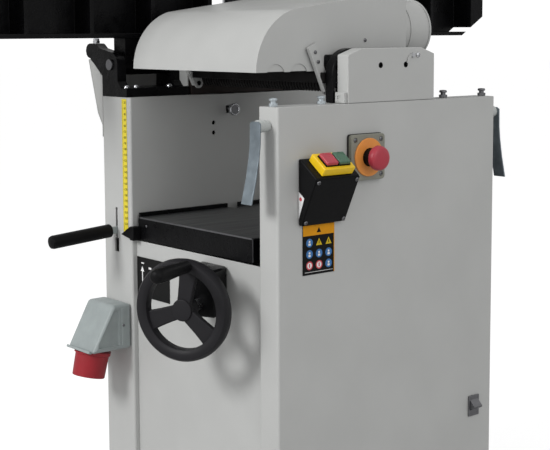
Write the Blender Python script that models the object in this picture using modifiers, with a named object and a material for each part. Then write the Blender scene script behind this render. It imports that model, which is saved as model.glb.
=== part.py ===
"""A combined surface planer and thicknesser, set for thicknessing.

The surface tables are tipped up on the left, the dust hood is flipped up over the cutterblock,
and the thickness table is at its lowest. Units are metres and +Z is up. X runs across the
machine: the left column carries the hinges, the right column the controls. Y is the feed
direction of the thicknesser, so the handwheel is on the -Y end. The origin is on the floor
below the middle of the cutterblock.
"""

import math

import bmesh
import bpy
from mathutils import Matrix, Vector

# Driving sizes
GAP = 0.0003  # left between touching pieces
SHEET = 0.003  # cabinet sheet thickness
LEFT_OUTER = -0.240
LEFT_INNER = -0.153
RIGHT_INNER = 0.195
RIGHT_OUTER = 0.240
END_FACE = 0.242  # the columns' end faces are at -Y and +Y of this
PANEL_FACE = 0.232  # front and rear panels are set back a little
BASE_TOP = 0.020
COLUMN_TOP = 0.787

# Cutting head
CUTTER_Z = 0.844
CUTTER_RADIUS = 0.032
KNIFE_RADIUS = 0.0345
HEAD_LEFT = -0.140  # the rollers and the cutterblock run between these
HEAD_RIGHT = 0.175
ROLLER_Y = 0.058
ROLLER_Z = 0.829
ROLLER_RADIUS = 0.020
ROLLER_SHAFT_RADIUS = 0.008
HEAD_CASTING_TOP = 0.872
FINGER_ROD_Y = -0.096
FINGER_ROD_Z = 0.842

# Thickness table, at its lowest
TABLE_TOP = 0.582
TABLE_LEFT = -0.148
TABLE_RIGHT = 0.167
TABLE_APRON = 0.040
TABLE_LIP_RISE = 0.007  # the left rim stands this high over the table
TABLE_PLATE = 0.012
RIB = 0.008
LIFT_X = 0.0095
LIFT_Y = 0.045
LIFT_RADIUS = 0.035
NUT_Z = 0.200

# Handwheel
WHEEL_CENTRE = Vector((0.114, -0.326, 0.475))
WHEEL_TURN = math.radians(25)  # turned towards the operator
WHEEL_RADIUS = 0.080
RIM_RADIUS = 0.009
SCREW_Y = -0.090
SCREW_RADIUS = 0.010

# Surface tables, tipped up
HINGE_X = -0.212
HINGE_Z = 0.842
PIN_RADIUS = 0.008
WORK_SURFACE_X = -0.250
TABLE_RIBS_X = -0.190
TABLE_LOW = 0.888
TABLE_HIGH = 1.289
TABLE_END = 0.700
TABLE_LIP = 0.036
BRACKET_IN = 0.110  # the hinge brackets run from here to the end face
EAR = 0.018
LUG_Z = 0.8655
LUG_RADIUS = 0.013

# Dust hood, flipped up
HOOD_LEFT = -0.148
HOOD_RIGHT = 0.184
HOOD_FRONT = -0.237
HOOD_REAR = 0.083
HOOD_EDGE = 0.836
HOOD_PIVOT_Y = -0.098
HOOD_PIVOT_Z = 0.808
HOOD_SHEET = 0.0015
SPOUT_RADIUS = 0.050

# Drive
MOTOR_Y = 0.155
MOTOR_Z = 0.140
MOTOR_RADIUS = 0.060
BELT_LEFT = 0.2195
BELT_RIGHT = 0.2305
BELT_THICK = 0.005
MOTOR_PULLEY_RADIUS = 0.040
CUTTER_PULLEY_RADIUS = 0.019
CHAIN_LEFT = -0.2205
CHAIN_RIGHT = -0.2155
SPROCKET_RADIUS = 0.017
FEED_SPROCKET_Z = 0.700

# Controls
LEVER_X = -0.200
LEVER_PIVOT_Y = -0.175
LEVER_Z = 0.554
LOCK_X = 0.218
LOCK_Z = 0.759
ESTOP_Y = -0.066
ESTOP_Z = 0.703
SWITCH_FRONT = -0.202
SWITCH_REAR = -0.114
KNOB_Y = -0.028
KNOB_Z = 0.759
KNOB_RADIUS = 0.009
KNOB_PULL = 0.006

COLOURS = {
    "light_grey_paint": ((0.60, 0.60, 0.58), 0.45, 0.0),
    "black_casting": ((0.02, 0.02, 0.022), 0.35, 0.0),
    "machined_iron": ((0.16, 0.16, 0.17), 0.35, 0.9),
    "bright_steel": ((0.62, 0.63, 0.65), 0.25, 1.0),
    "zinc_steel": ((0.35, 0.40, 0.45), 0.40, 0.9),
    "black_plastic": ((0.02, 0.02, 0.02), 0.40, 0.0),
    "yellow_plastic": ((0.90, 0.65, 0.03), 0.40, 0.0),
    "red_plastic": ((0.55, 0.02, 0.03), 0.35, 0.0),
    "green_plastic": ((0.02, 0.35, 0.10), 0.40, 0.0),
    "grey_plastic": ((0.36, 0.38, 0.36), 0.50, 0.0),
    "orange_plastic": ((0.80, 0.32, 0.05), 0.40, 0.0),
    "rubber": ((0.03, 0.03, 0.03), 0.70, 0.0),
    "scale_yellow": ((0.90, 0.75, 0.05), 0.40, 0.0),
}

PARTS = "combined_planer_thicknesser"


# Scene and shape helpers


def clear_scene():
    for obj in list(bpy.data.objects):
        bpy.data.objects.remove(obj)
    collection = bpy.data.collections.new(PARTS)
    bpy.context.scene.collection.children.link(collection)


def material(name):
    found = bpy.data.materials.get(name)
    if found:
        return found
    colour, roughness, metallic = COLOURS[name]
    made = bpy.data.materials.new(name)
    made.use_nodes = True
    shader = made.node_tree.nodes["Principled BSDF"]
    shader.inputs["Base Color"].default_value = (*colour, 1.0)
    shader.inputs["Roughness"].default_value = roughness
    shader.inputs["Metallic"].default_value = metallic
    return made


def add_object(name, data):
    obj = bpy.data.objects.new(name, data)
    bpy.data.collections[PARTS].objects.link(obj)
    return obj


def from_bmesh(name, bm, matrix=Matrix.Identity(4)):
    mesh = bpy.data.meshes.new(name)
    bm.to_mesh(mesh)
    bm.free()
    mesh.transform(matrix)
    return add_object(name, mesh)


def apply_modifiers(obj):
    graph = bpy.context.evaluated_depsgraph_get()
    mesh = bpy.data.meshes.new_from_object(obj.evaluated_get(graph))
    obj.modifiers.clear()
    obj.data = mesh
    return obj


def join(target, *others):
    """Joins the others into the target as one solid."""
    return combine(target, others, "UNION")


def cut(target, *others):
    """Takes the others away from the target."""
    return combine(target, others, "DIFFERENCE")


def combine(target, others, operation):
    for other in others:
        modifier = target.modifiers.new(operation, "BOOLEAN")
        modifier.operation = operation
        modifier.object = other
        apply_modifiers(target)
        bpy.data.objects.remove(other)
    return target


def boxes(name, corners):
    """Separate boxes in one object, each given by its low and high corner."""
    bm = bmesh.new()
    for low, high in corners:
        low, high = Vector(low), Vector(high)
        place = Matrix.Translation((low + high) / 2) @ Matrix.Diagonal((*(high - low), 1))
        bmesh.ops.create_cube(bm, size=1, matrix=place)
    return from_bmesh(name, bm)


def box(name, low, high):
    return boxes(name, [(low, high)])


def cylinder(name, start, end, radius, end_radius=None, sides=32):
    """A round bar or cone from start to end."""
    start, end = Vector(start), Vector(end)
    along = end - start
    place = Matrix.Translation((start + end) / 2) @ along.to_track_quat("Z", "Y").to_matrix().to_4x4()
    bm = bmesh.new()
    bmesh.ops.create_cone(
        bm,
        cap_ends=True,
        segments=sides,
        radius1=radius,
        radius2=radius if end_radius is None else end_radius,
        depth=along.length,
        matrix=place,
    )
    return from_bmesh(name, bm)


def ring(name, start, end, radius, bore, sides=32):
    """A round bar with a bore right through it."""
    along = (Vector(end) - Vector(start)).normalized() * 0.01
    solid = cylinder(name, start, end, radius, sides=sides)
    return cut(solid, cylinder("bore", Vector(start) - along, Vector(end) + along, bore, sides=sides))


def in_plane(across, up, origin):
    """The matrix of a flat outline whose x runs along across and whose y runs along up."""
    across, up = Vector(across), Vector(up)
    out = across.cross(up)
    return Matrix.Translation(origin) @ Matrix((across, up, out)).transposed().to_4x4()


def facing_y(y):
    """Outline x is X and outline y is Z."""
    return in_plane((1, 0, 0), (0, 0, 1), (0, y, 0))


def facing_x(x):
    """Outline x is Y and outline y is Z."""
    return in_plane((0, 1, 0), (0, 0, 1), (x, 0, 0))


def plate(name, outlines, thickness, matrix):
    """A flat plate with the given outline, and any further outlines as holes, centred on its plane."""
    curve = bpy.data.curves.new(name, "CURVE")
    curve.dimensions = "2D"
    curve.fill_mode = "BOTH"
    curve.extrude = thickness / 2
    for points in outlines:
        spline = curve.splines.new("POLY")
        spline.points.add(len(points) - 1)
        spline.use_cyclic_u = True
        for point, (x, y) in zip(spline.points, points):
            point.co = (x, y, 0, 1)
    drawn = add_object(name + "_outline", curve)
    graph = bpy.context.evaluated_depsgraph_get()
    mesh = bpy.data.meshes.new_from_object(drawn.evaluated_get(graph))
    bpy.data.objects.remove(drawn)
    bm = bmesh.new()
    bm.from_mesh(mesh)
    bmesh.ops.remove_doubles(bm, verts=bm.verts, dist=1e-5)
    bmesh.ops.recalc_face_normals(bm, faces=bm.faces)
    return from_bmesh(name, bm, matrix)


def arc(centre, radius, start, end, steps=6):
    """Points on an arc, with its angles in degrees."""
    angles = [math.radians(start + (end - start) * i / steps) for i in range(steps + 1)]
    return [(centre[0] + radius * math.cos(a), centre[1] + radius * math.sin(a)) for a in angles]


def around(circles, clearance, steps=32):
    """The line drawn tight around circles (x, y, radius), as a belt or a chain lies."""
    points = []
    for x, y, radius in circles:
        points += arc((x, y), radius + clearance, 0, 360 - 360 / steps, steps - 1)
    points = sorted(set(points))
    hull = []
    for path in (points, points[::-1]):
        side = []
        for point in path:
            while len(side) > 1 and turns_right(side[-2], side[-1], point):
                side.pop()
            side.append(point)
        hull += side[:-1]
    return hull


def turns_right(a, b, c):
    return (b[0] - a[0]) * (c[1] - a[1]) - (b[1] - a[1]) * (c[0] - a[0]) <= 1e-12


def bevel(obj, width, segments=2, angle=40):
    modifier = obj.modifiers.new("round", "BEVEL")
    modifier.width = width
    modifier.segments = segments
    modifier.limit_method = "ANGLE"
    modifier.angle_limit = math.radians(angle)
    return apply_modifiers(obj)


def finish(obj, name, material_name, round_shape=False):
    """Names the node and gives it its material. A round shape is shaded smooth."""
    obj.name = name
    obj.data.materials.clear()
    obj.data.materials.append(material(material_name))
    if round_shape:
        obj.data.shade_smooth()
        obj.data.set_sharp_from_angle(angle=math.radians(35))
    return obj


# Cabinet


def base_plinth():
    body = box("plinth", (LEFT_OUTER, -END_FACE, 0), (RIGHT_OUTER, END_FACE, BASE_TOP))
    finish(body, "base_plinth", "light_grey_paint")


def hollow_column(left, right):
    """A sheet column, closed at the top and open at the bottom."""
    floor = BASE_TOP + GAP
    body = box("column", (left, -END_FACE, floor), (right, END_FACE, COLUMN_TOP))
    inside = box(
        "inside",
        (left + SHEET, -END_FACE + SHEET, floor - 0.01),
        (right - SHEET, END_FACE - SHEET, COLUMN_TOP - SHEET),
    )
    return cut(body, inside)


def cross_bore(x, y, z, radius, reach=0.01, sides=24):
    """A cutter along X, which goes through a wall at x."""
    return cylinder("bore", (x - reach, y, z), (x + reach, y, z), radius, sides=sides)


def left_column():
    body = hollow_column(LEFT_OUTER, LEFT_INNER)
    front = (-END_FACE - 0.01, -END_FACE + 0.01)
    slots = boxes(
        "slots",
        [
            ((LEVER_X - 0.003, front[0], 0.541), (LEVER_X + 0.003, front[1], 0.594)),
            (
                (LEFT_INNER - 0.01, KNOB_Y - 0.007, KNOB_Z - 0.007),
                (LEFT_INNER + 0.01, KNOB_Y + 0.007, KNOB_Z + 0.007),
            ),
            (
                (CHAIN_LEFT - 0.006, -0.084, COLUMN_TOP - 0.01),
                (CHAIN_RIGHT + 0.006, 0.084, COLUMN_TOP + 0.01),
            ),
        ],
    )
    wide_end = box("wide_end", (LEVER_X - 0.0065, front[0], 0.516), (LEVER_X + 0.0065, front[1], 0.5415))
    cut(body, slots, wide_end)
    for drop in (0.041, 0.023):
        cut(body, cross_bore(LEFT_INNER, KNOB_Y - 0.035, KNOB_Z - drop, 0.004, sides=16))
    finish(body, "left_column", "light_grey_paint")


def right_column():
    body = hollow_column(RIGHT_INNER, RIGHT_OUTER)
    belt_low = (BELT_LEFT - 0.003, -0.032, COLUMN_TOP - 0.01)
    belt_high = (BELT_RIGHT + 0.003, 0.052, COLUMN_TOP + 0.01)
    cut(body, box("belt_way", belt_low, belt_high))
    cut(body, cross_bore(RIGHT_INNER, MOTOR_Y, MOTOR_Z, 0.020, sides=32))
    for side in (-1, 1):
        start = (LOCK_X, side * (END_FACE - 0.01), LOCK_Z)
        end = (LOCK_X, side * (END_FACE + 0.01), LOCK_Z)
        cut(body, cylinder("lock_hole", start, end, 0.0063, sides=24))
    finish(body, "right_column", "light_grey_paint")


def left_shield():
    """A flared sheet on the outside of the left column, which covers the hinge side."""
    thick = 0.0025
    outer = LEFT_OUTER - GAP - thick
    inner = LEFT_OUTER - GAP
    outline = [
        (inner, 0.715),
        (inner, 0.735),
        (-0.2545, 0.757),
        (-0.2825, 0.8505),
        (-0.2850, 0.8500),
        (-0.2570, 0.7565),
        (outer, 0.736),
        (outer, 0.715),
    ]
    body = plate("shield", [outline], 2 * END_FACE - 0.002, facing_y(0))
    finish(body, "left_shield", "light_grey_paint")


def panels():
    """The lower front and rear panels, between the columns."""
    left, right = LEFT_INNER + GAP, RIGHT_INNER - GAP
    top = TABLE_TOP - TABLE_APRON - 0.002
    front = box("panel", (left, -PANEL_FACE, BASE_TOP + GAP), (right, -PANEL_FACE + SHEET, top))
    cut(front, cylinder("shaft_hole", wheel_point(-0.080), wheel_point(-0.130), 0.012))
    finish(front, "front_panel", "light_grey_paint")
    rear = box("panel", (left, PANEL_FACE - SHEET, BASE_TOP + GAP), (right, PANEL_FACE, top))
    finish(rear, "rear_panel", "light_grey_paint")


# Cutting head


def arch(front, rear, radius):
    """The outline of a head casting: upright sides and a rounded top."""
    base = COLUMN_TOP + GAP
    top = HEAD_CASTING_TOP
    return [
        (front, base),
        (rear, base),
        *arc((rear - radius, top - radius), radius, 0, 90),
        *arc((front + radius, top - radius), radius, 90, 180),
    ]


def head_bores(casting, start, end):
    """The bores for the bearing, the roller shafts, the hood's pivot pin and the finger rod."""
    bores = [
        (0, CUTTER_Z, 0.026),
        (-ROLLER_Y, ROLLER_Z, ROLLER_SHAFT_RADIUS + GAP),
        (ROLLER_Y, ROLLER_Z, ROLLER_SHAFT_RADIUS + GAP),
        (HOOD_PIVOT_Y, HOOD_PIVOT_Z, 0.0053),
        (FINGER_ROD_Y, FINGER_ROD_Z, 0.0043),
    ]
    for y, z, radius in bores:
        cut(casting, cylinder("bore", (start, y, z), (end, y, z), radius, sides=24))


def left_head_casting():
    face = -0.160
    back = -0.235
    body = plate("casting", [arch(-0.106, 0.106, 0.022)], face - back, facing_x((face + back) / 2))
    head_bores(body, face + 0.01, face - 0.019)
    for y in (-ROLLER_Y, ROLLER_Y):
        cut(body, cross_bore(face, y, ROLLER_Z, ROLLER_SHAFT_RADIUS + GAP, reach=0.05))
    cut(body, box("chain_room", (-0.229, -0.085, COLUMN_TOP - 0.01), (-0.204, 0.085, 0.862)))
    finish(body, "left_head_casting", "black_casting")


def right_head_casting():
    face = 0.195
    back = 0.212
    body = plate("casting", [arch(-0.107, 0.105, 0.040)], back - face, facing_x((face + back) / 2))
    head_bores(body, face - 0.01, back + 0.01)
    finish(body, "right_head_casting", "black_casting")


def head_cover():
    """The sheet cover over the cutter pulley and the top of the belt."""
    left, right, front, rear = 0.213, 0.238, -0.098, 0.094
    base = COLUMN_TOP + GAP
    wall = 0.002
    outline = [
        (front, base),
        (rear, base),
        (rear, HEAD_CASTING_TOP - 0.010),
        (rear - 0.030, HEAD_CASTING_TOP),
        (front + 0.030, HEAD_CASTING_TOP),
        (front, HEAD_CASTING_TOP - 0.010),
    ]
    inner = [
        (front + wall, base - 0.01),
        (rear - wall, base - 0.01),
        (rear - wall, HEAD_CASTING_TOP - 0.0115),
        (rear - 0.0303, HEAD_CASTING_TOP - wall),
        (front + 0.0303, HEAD_CASTING_TOP - wall),
        (front + wall, HEAD_CASTING_TOP - 0.0115),
    ]
    middle = (left + right) / 2
    body = plate("cover", [outline], right - left, facing_x(middle))
    cut(body, plate("room", [inner], right - left - 2 * wall, facing_x(middle)))
    cut(body, cross_bore(left, 0, CUTTER_Z, 0.015, sides=32))
    for y in (-0.028, 0.028):
        cut(body, cross_bore(right, y, 0.845, 0.0045, sides=16))
    finish(body, "head_cover", "light_grey_paint")


def cutter_bearings():
    places = (("cutter_bearing_left", -0.178, -0.1603), ("cutter_bearing_right", 0.1953, 0.2117))
    for name, start, end in places:
        body = ring("bearing", (start, 0, CUTTER_Z), (end, 0, CUTTER_Z), 0.0257, 0.0123, sides=24)
        finish(body, name, "bright_steel", True)


def cutterblock():
    body = cylinder("block", (HEAD_LEFT, 0, CUTTER_Z), (HEAD_RIGHT, 0, CUTTER_Z), CUTTER_RADIUS)
    for k in range(3):
        angle = math.radians(90 + 120 * k)
        low = (HEAD_LEFT + 0.001, -0.0015, 0.026)
        knife = box("knife", low, (HEAD_RIGHT - 0.001, 0.0015, KNIFE_RADIUS))
        knife.data.transform(Matrix.Translation((0, 0, CUTTER_Z)) @ Matrix.Rotation(angle, 4, "X"))
        join(body, knife)
    join(body, cylinder("journals", (-0.1775, 0, CUTTER_Z), (0.2135, 0, CUTTER_Z), 0.012))
    join(body, cylinder("end", (0.205, 0, CUTTER_Z), (0.232, 0, CUTTER_Z), 0.010, sides=24))
    finish(body, "cutterblock", "bright_steel", True)
    pulley = ring("pulley", (0.2175, 0, CUTTER_Z), (0.2325, 0, CUTTER_Z), CUTTER_PULLEY_RADIUS, 0.0103)
    finish(pulley, "cutter_pulley", "machined_iron", True)


def rollers():
    for name, y in (("infeed_roller", -ROLLER_Y), ("outfeed_roller", ROLLER_Y)):
        body = cylinder("roller", (HEAD_LEFT, y, ROLLER_Z), (HEAD_RIGHT, y, ROLLER_Z), ROLLER_RADIUS)
        ends = (-0.223, y, ROLLER_Z), (0.208, y, ROLLER_Z)
        join(body, cylinder("shaft", *ends, ROLLER_SHAFT_RADIUS, sides=24))
        join(body, cylinder("sprocket", (-0.222, y, ROLLER_Z), (-0.214, y, ROLLER_Z), SPROCKET_RADIUS))
        finish(body, name, "bright_steel", True)


def anti_kickback_fingers():
    """A rod with a row of fingers, which hang and swing with the feed only."""
    ends = (-0.171, FINGER_ROD_Y, FINGER_ROD_Z), (0.205, FINGER_ROD_Y, FINGER_ROD_Z)
    body = cylinder("rod", *ends, 0.004, sides=16)
    count = 15
    pitch = (HEAD_RIGHT - HEAD_LEFT) / count
    low, high = FINGER_ROD_Z - 0.040, FINGER_ROD_Z + 0.005
    corners = []
    for k in range(count):
        x = HEAD_LEFT + pitch * (k + 0.5)
        near, far = FINGER_ROD_Y - 0.0035, FINGER_ROD_Y + 0.0055
        corners.append(((x - 0.006, near, low), (x + 0.006, far, high)))
    join(body, boxes("fingers", corners))
    finish(body, "anti_kickback_fingers", "machined_iron")


# Drive


def motor():

    def bar(start, end, radius, sides=32):
        return cylinder("bar", (start, MOTOR_Y, MOTOR_Z), (end, MOTOR_Y, MOTOR_Z), radius, sides=sides)

    def block(left, right, half, low, high):
        return box("block", (left, MOTOR_Y - half, low), (right, MOTOR_Y + half, high))

    body = bar(-0.075, 0.168, MOTOR_RADIUS)
    foot = block(-0.045, 0.140, 0.045, BASE_TOP + GAP, MOTOR_Z - 0.030)
    terminals = block(-0.020, 0.070, 0.035, MOTOR_Z + 0.040, MOTOR_Z + 0.085)
    join(body, foot, terminals)
    cut(body, bar(0.150, 0.180, 0.0125, 24))
    finish(body, "motor_body", "machined_iron")
    pulley = bar(0.2175, 0.2325, MOTOR_PULLEY_RADIUS, 40)
    join(pulley, bar(0.1505, 0.220, 0.012, 24))
    finish(pulley, "motor_pulley", "machined_iron", True)


def loop(name, circles, left, right, thick, material_name):
    """A belt or a chain around the given circles."""
    outlines = [around(circles, GAP + thick), around(circles, GAP)]
    body = plate("loop", outlines, right - left, facing_x((left + right) / 2))
    finish(body, name, material_name)


def belt_and_chain():
    pulleys = [(0, CUTTER_Z, CUTTER_PULLEY_RADIUS), (MOTOR_Y, MOTOR_Z, MOTOR_PULLEY_RADIUS)]
    loop("drive_belt", pulleys, BELT_LEFT, BELT_RIGHT, BELT_THICK, "rubber")
    centres = (-ROLLER_Y, ROLLER_Z), (ROLLER_Y, ROLLER_Z), (0, FEED_SPROCKET_Z)
    sprockets = [(y, z, SPROCKET_RADIUS) for y, z in centres]
    loop("feed_chain", sprockets, CHAIN_LEFT, CHAIN_RIGHT, 0.004, "machined_iron")


def feed_gearbox():
    """The feed gearbox in the left column, with the arm and pin that the feed lever swings on."""
    body = box("case", (-0.208, -0.050, 0.640), (-0.160, 0.060, 0.740))
    arm_low = (-0.194, LEVER_PIVOT_Y - 0.012, LEVER_Z - 0.014)
    join(body, box("arm", arm_low, (-0.186, -0.030, 0.690)))
    pin_ends = (-0.207, LEVER_PIVOT_Y, LEVER_Z), (-0.190, LEVER_PIVOT_Y, LEVER_Z)
    join(body, cylinder("pin", *pin_ends, 0.005, sides=24))
    cut(body, cross_bore(-0.205, 0, FEED_SPROCKET_Z, 0.0083, reach=0.015))
    finish(body, "feed_gearbox", "machined_iron")
    disc_ends = (-0.222, 0, FEED_SPROCKET_Z), (-0.214, 0, FEED_SPROCKET_Z)
    sprocket = cylinder("sprocket", *disc_ends, SPROCKET_RADIUS)
    shaft_ends = (-0.216, 0, FEED_SPROCKET_Z), (-0.1905, 0, FEED_SPROCKET_Z)
    join(sprocket, cylinder("shaft", *shaft_ends, 0.008, sides=24))
    finish(sprocket, "feed_drive_sprocket", "machined_iron", True)


# Thickness table and its lift


def pocket_grid(low, high, counts):
    """The (low, high) corners of a grid of pockets between ribs, over a flat area."""
    cells = []
    sizes = [(high[k] - low[k] - RIB * (counts[k] - 1)) / counts[k] for k in (0, 1)]
    for i in range(counts[0]):
        for j in range(counts[1]):
            corner = (low[0] + i * (sizes[0] + RIB), low[1] + j * (sizes[1] + RIB))
            cells.append((corner, (corner[0] + sizes[0], corner[1] + sizes[1])))
    return cells


def thickness_table():
    low = TABLE_TOP - TABLE_APRON
    body = box("table", (TABLE_LEFT, -PANEL_FACE, low), (TABLE_RIGHT, PANEL_FACE, TABLE_TOP))
    bevel(body, 0.0015, 1)
    inner = (TABLE_LEFT + RIB, -PANEL_FACE + RIB), (TABLE_RIGHT - RIB, PANEL_FACE - RIB)
    pockets = [((*a, low - 0.01), (*b, TABLE_TOP - TABLE_PLATE)) for a, b in pocket_grid(*inner, (3, 4))]
    cut(body, boxes("pockets", pockets))
    lip_low = (TABLE_LEFT + 0.0005, -PANEL_FACE + 0.002, TABLE_TOP - 0.002)
    lip_high = (TABLE_LEFT + 0.004, PANEL_FACE - 0.002, TABLE_TOP + TABLE_LIP_RISE)
    join(body, box("lip", lip_low, lip_high))
    cut(body, latch_notch(low))
    finish(body, "thickness_table", "machined_iron")


def latch_notch(low):
    """The room that the table's left edge leaves for the latch knob, pulled or not."""
    half = KNOB_RADIUS + 0.004
    depth = 0.016 + KNOB_PULL
    low_corner = (TABLE_LEFT - 0.01, KNOB_Y - half, low - 0.01)
    return box("notch", low_corner, (TABLE_LEFT + depth, KNOB_Y + half, TABLE_TOP + 0.02))


def table_lift():
    """The guide tube on the base, the column under the table, and the nut on its hanger."""
    tube = cylinder("tube", (LIFT_X, LIFT_Y, BASE_TOP + GAP), (LIFT_X, LIFT_Y, 0.530), 0.045)
    join(tube, cylinder("flange", (LIFT_X, LIFT_Y, BASE_TOP + GAP), (LIFT_X, LIFT_Y, 0.035), 0.052))
    screw = screw_axis()
    for low, high in ((0.095, 0.125), (0.440, 0.452)):
        join(tube, box("arm", (screw.x - 0.018, screw.y - 0.018, low), (screw.x + 0.018, LIFT_Y, high)))
    cut(tube, cylinder("room", (LIFT_X, LIFT_Y, 0.030), (LIFT_X, LIFT_Y, 0.540), LIFT_RADIUS + 0.0005))
    for low, high in ((0.104, 0.130), (0.430, 0.460)):
        cut(tube, screw_bore(screw, low, high))
    finish(tube, "lift_guide_tube", "black_casting", True)

    under = TABLE_TOP - TABLE_PLATE - GAP
    column = cylinder("column", (LIFT_X, LIFT_Y, 0.230), (LIFT_X, LIFT_Y, under), LIFT_RADIUS)
    finish(column, "table_lift_column", "bright_steel", True)

    left = screw.x - 0.038
    nut_low = (left, screw.y - 0.015, NUT_Z)
    nut = box("nut", nut_low, (screw.x + 0.018, screw.y + 0.015, NUT_Z + 0.020))
    hanger_low = (left, screw.y - 0.012, NUT_Z + 0.002)
    join(nut, box("hanger", hanger_low, (left + 0.008, screw.y + 0.012, under)))
    cut(nut, screw_bore(screw, NUT_Z - 0.01, NUT_Z + 0.03))
    finish(nut, "lift_nut", "machined_iron")


def screw_bore(screw, low, high):
    """A cutter for the bore that the lead screw turns in."""
    return cylinder("bore", (screw.x, screw.y, low), (screw.x, screw.y, high), SCREW_RADIUS + GAP, sides=24)


def screw_axis():
    """Where the lead screw stands: on the line of the handwheel's shaft."""
    reach = (SCREW_Y - WHEEL_CENTRE.y) / math.cos(WHEEL_TURN)
    point = wheel_point(-reach)
    return Vector((point.x, point.y, 0))


def lead_screw():
    screw = screw_axis()
    body = cylinder("screw", (screw.x, screw.y, 0.1045), (screw.x, screw.y, 0.456), SCREW_RADIUS, sides=24)
    join(body, cylinder("gear", (screw.x, screw.y, 0.4545), (screw.x, screw.y, 0.4645), 0.0185, 0.0100))
    finish(body, "lead_screw", "bright_steel", True)


def scale_pointer():
    """A bent arm from the table's front corner round to the scale."""
    low = TABLE_TOP - 0.040
    body = box("arm", (-0.1515, -0.2480, low), (-0.1400, -PANEL_FACE - GAP, low + 0.024))
    join(body, box("pointer", (-0.1780, -0.2480, low + 0.004), (-0.1500, -0.2450, low + 0.012)))
    finish(body, "scale_pointer", "black_plastic")


def wheel_point(distance, radial=0.0, angle=0.0):
    """A point at a distance along the handwheel's axis, outwards, and at a radius from it."""
    out = Vector((math.sin(WHEEL_TURN), -math.cos(WHEEL_TURN), 0))
    across = Vector((math.cos(WHEEL_TURN), math.sin(WHEEL_TURN), 0))
    up = Vector((0, 0, 1))
    return WHEEL_CENTRE + out * distance + (across * math.cos(angle) + up * math.sin(angle)) * radial


def wheel_matrix():
    """Local z is the handwheel's axis, outwards, and local y is up."""
    return in_plane((math.cos(WHEEL_TURN), math.sin(WHEEL_TURN), 0), (0, 0, 1), WHEEL_CENTRE)


def handwheel():
    bpy.ops.mesh.primitive_torus_add(
        major_radius=WHEEL_RADIUS - RIM_RADIUS,
        minor_radius=RIM_RADIUS,
        major_segments=36,
        minor_segments=10,
    )
    torus = bpy.context.object
    body = add_object("wheel", torus.data.copy())
    bpy.data.objects.remove(torus)
    body.data.transform(Matrix.Diagonal((1, 1, 1.4, 1)))
    for degrees in (80, 200, 320):
        spoke = box("spoke", (0.005, -0.0135, -0.008), (WHEEL_RADIUS - RIM_RADIUS, 0.0135, 0.004))
        spoke.data.transform(Matrix.Rotation(math.radians(degrees), 4, "Z"))
        join(body, spoke)
    join(body, cylinder("hub", (0, 0, -0.020), (0, 0, 0.010), 0.0175))
    body.data.transform(wheel_matrix())
    cut(body, cylinder("bore", wheel_point(-0.030), wheel_point(0.004), 0.0093, sides=24))
    finish(body, "handwheel", "black_plastic", True)


def handwheel_shaft():
    reach = (screw_axis() - Vector((WHEEL_CENTRE.x, WHEEL_CENTRE.y, 0))).length
    body = cylinder("shaft", wheel_point(0.0035), wheel_point(-reach + 0.020), 0.009, sides=24)
    join(body, cylinder("pinion", wheel_point(-reach + 0.022), wheel_point(-reach + 0.012), 0.0185, 0.0100))
    finish(body, "handwheel_shaft", "bright_steel", True)


def crank_grip():
    angle = math.radians(80)
    radius = WHEEL_RADIUS - RIM_RADIUS
    start, waist, end = (wheel_point(reach, radius, angle) for reach in (0.0120, 0.0990, 0.1070))
    body = cylinder("grip", start, waist, 0.0095, 0.0115, sides=24)
    overlap = wheel_point(0.0985, radius, angle)
    join(body, cylinder("end", overlap, end, 0.0115, 0.0070, sides=24))
    finish(body, "crank_grip", "black_plastic", True)


def handwheel_bracket():
    """The angled bearing block between the front panel and the handwheel."""
    body = box("block", (-0.030, -0.020, -0.120), (0.030, 0.055, -0.045))
    body.data.transform(wheel_matrix())
    cut(body, box("panel_side", (-0.1, -PANEL_FACE - GAP, 0.3), (0.3, 0, 0.6)))
    bevel(body, 0.003, 1)
    cut(body, cylinder("bore", wheel_point(-0.150), wheel_point(-0.030), 0.0093, sides=24))
    finish(body, "handwheel_bracket", "black_casting")


# Surface tables and hinges


def surface_table(name, side):
    """One ribbed table, tipped up, with its hinge knuckle. Side is -1 at the front and 1 at the rear."""
    chamfer = 0.065
    outline = [
        (side * TABLE_LIP, TABLE_LOW),
        (side * (TABLE_END - chamfer), TABLE_LOW),
        (side * TABLE_END, TABLE_LOW + 0.040),
        (side * TABLE_END, TABLE_HIGH),
        (side * TABLE_LIP, TABLE_HIGH),
    ]
    thick = TABLE_RIBS_X - WORK_SURFACE_X
    body = plate("table", [outline], thick, facing_x((TABLE_RIBS_X + WORK_SURFACE_X) / 2))
    near, far = TABLE_LIP + RIB, TABLE_END - RIB - 0.030
    pockets = []
    for a, b in pocket_grid((near, TABLE_LOW + RIB), (far, TABLE_HIGH - RIB), (5, 3)):
        y_low, y_high = sorted((side * a[0], side * b[0]))
        pockets.append(((WORK_SURFACE_X + 0.010, y_low, a[1]), (TABLE_RIBS_X + 0.01, y_high, b[1])))
    cut(body, boxes("pockets", pockets))

    inner = BRACKET_IN + EAR + 0.0015
    outer = END_FACE - EAR - 0.0015
    y_low, y_high = sorted((side * inner, side * outer))
    low_corner = (HINGE_X - EAR, y_low, HINGE_Z)
    knuckle = box("knuckle", low_corner, (HINGE_X + EAR, y_high, TABLE_LOW + 0.004))
    join(knuckle, hinge_bar(y_low, y_high, EAR, 32))
    join(body, knuckle)
    cut(body, hinge_bar(y_low - 0.01, y_high + 0.01, PIN_RADIUS + GAP))
    finish(body, name, "machined_iron")


def hinge_bar(start, end, radius, sides=24):
    """A round bar on the surface tables' hinge axis."""
    return cylinder("bar", (HINGE_X, start, HINGE_Z), (HINGE_X, end, HINGE_Z), radius, sides=sides)


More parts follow.
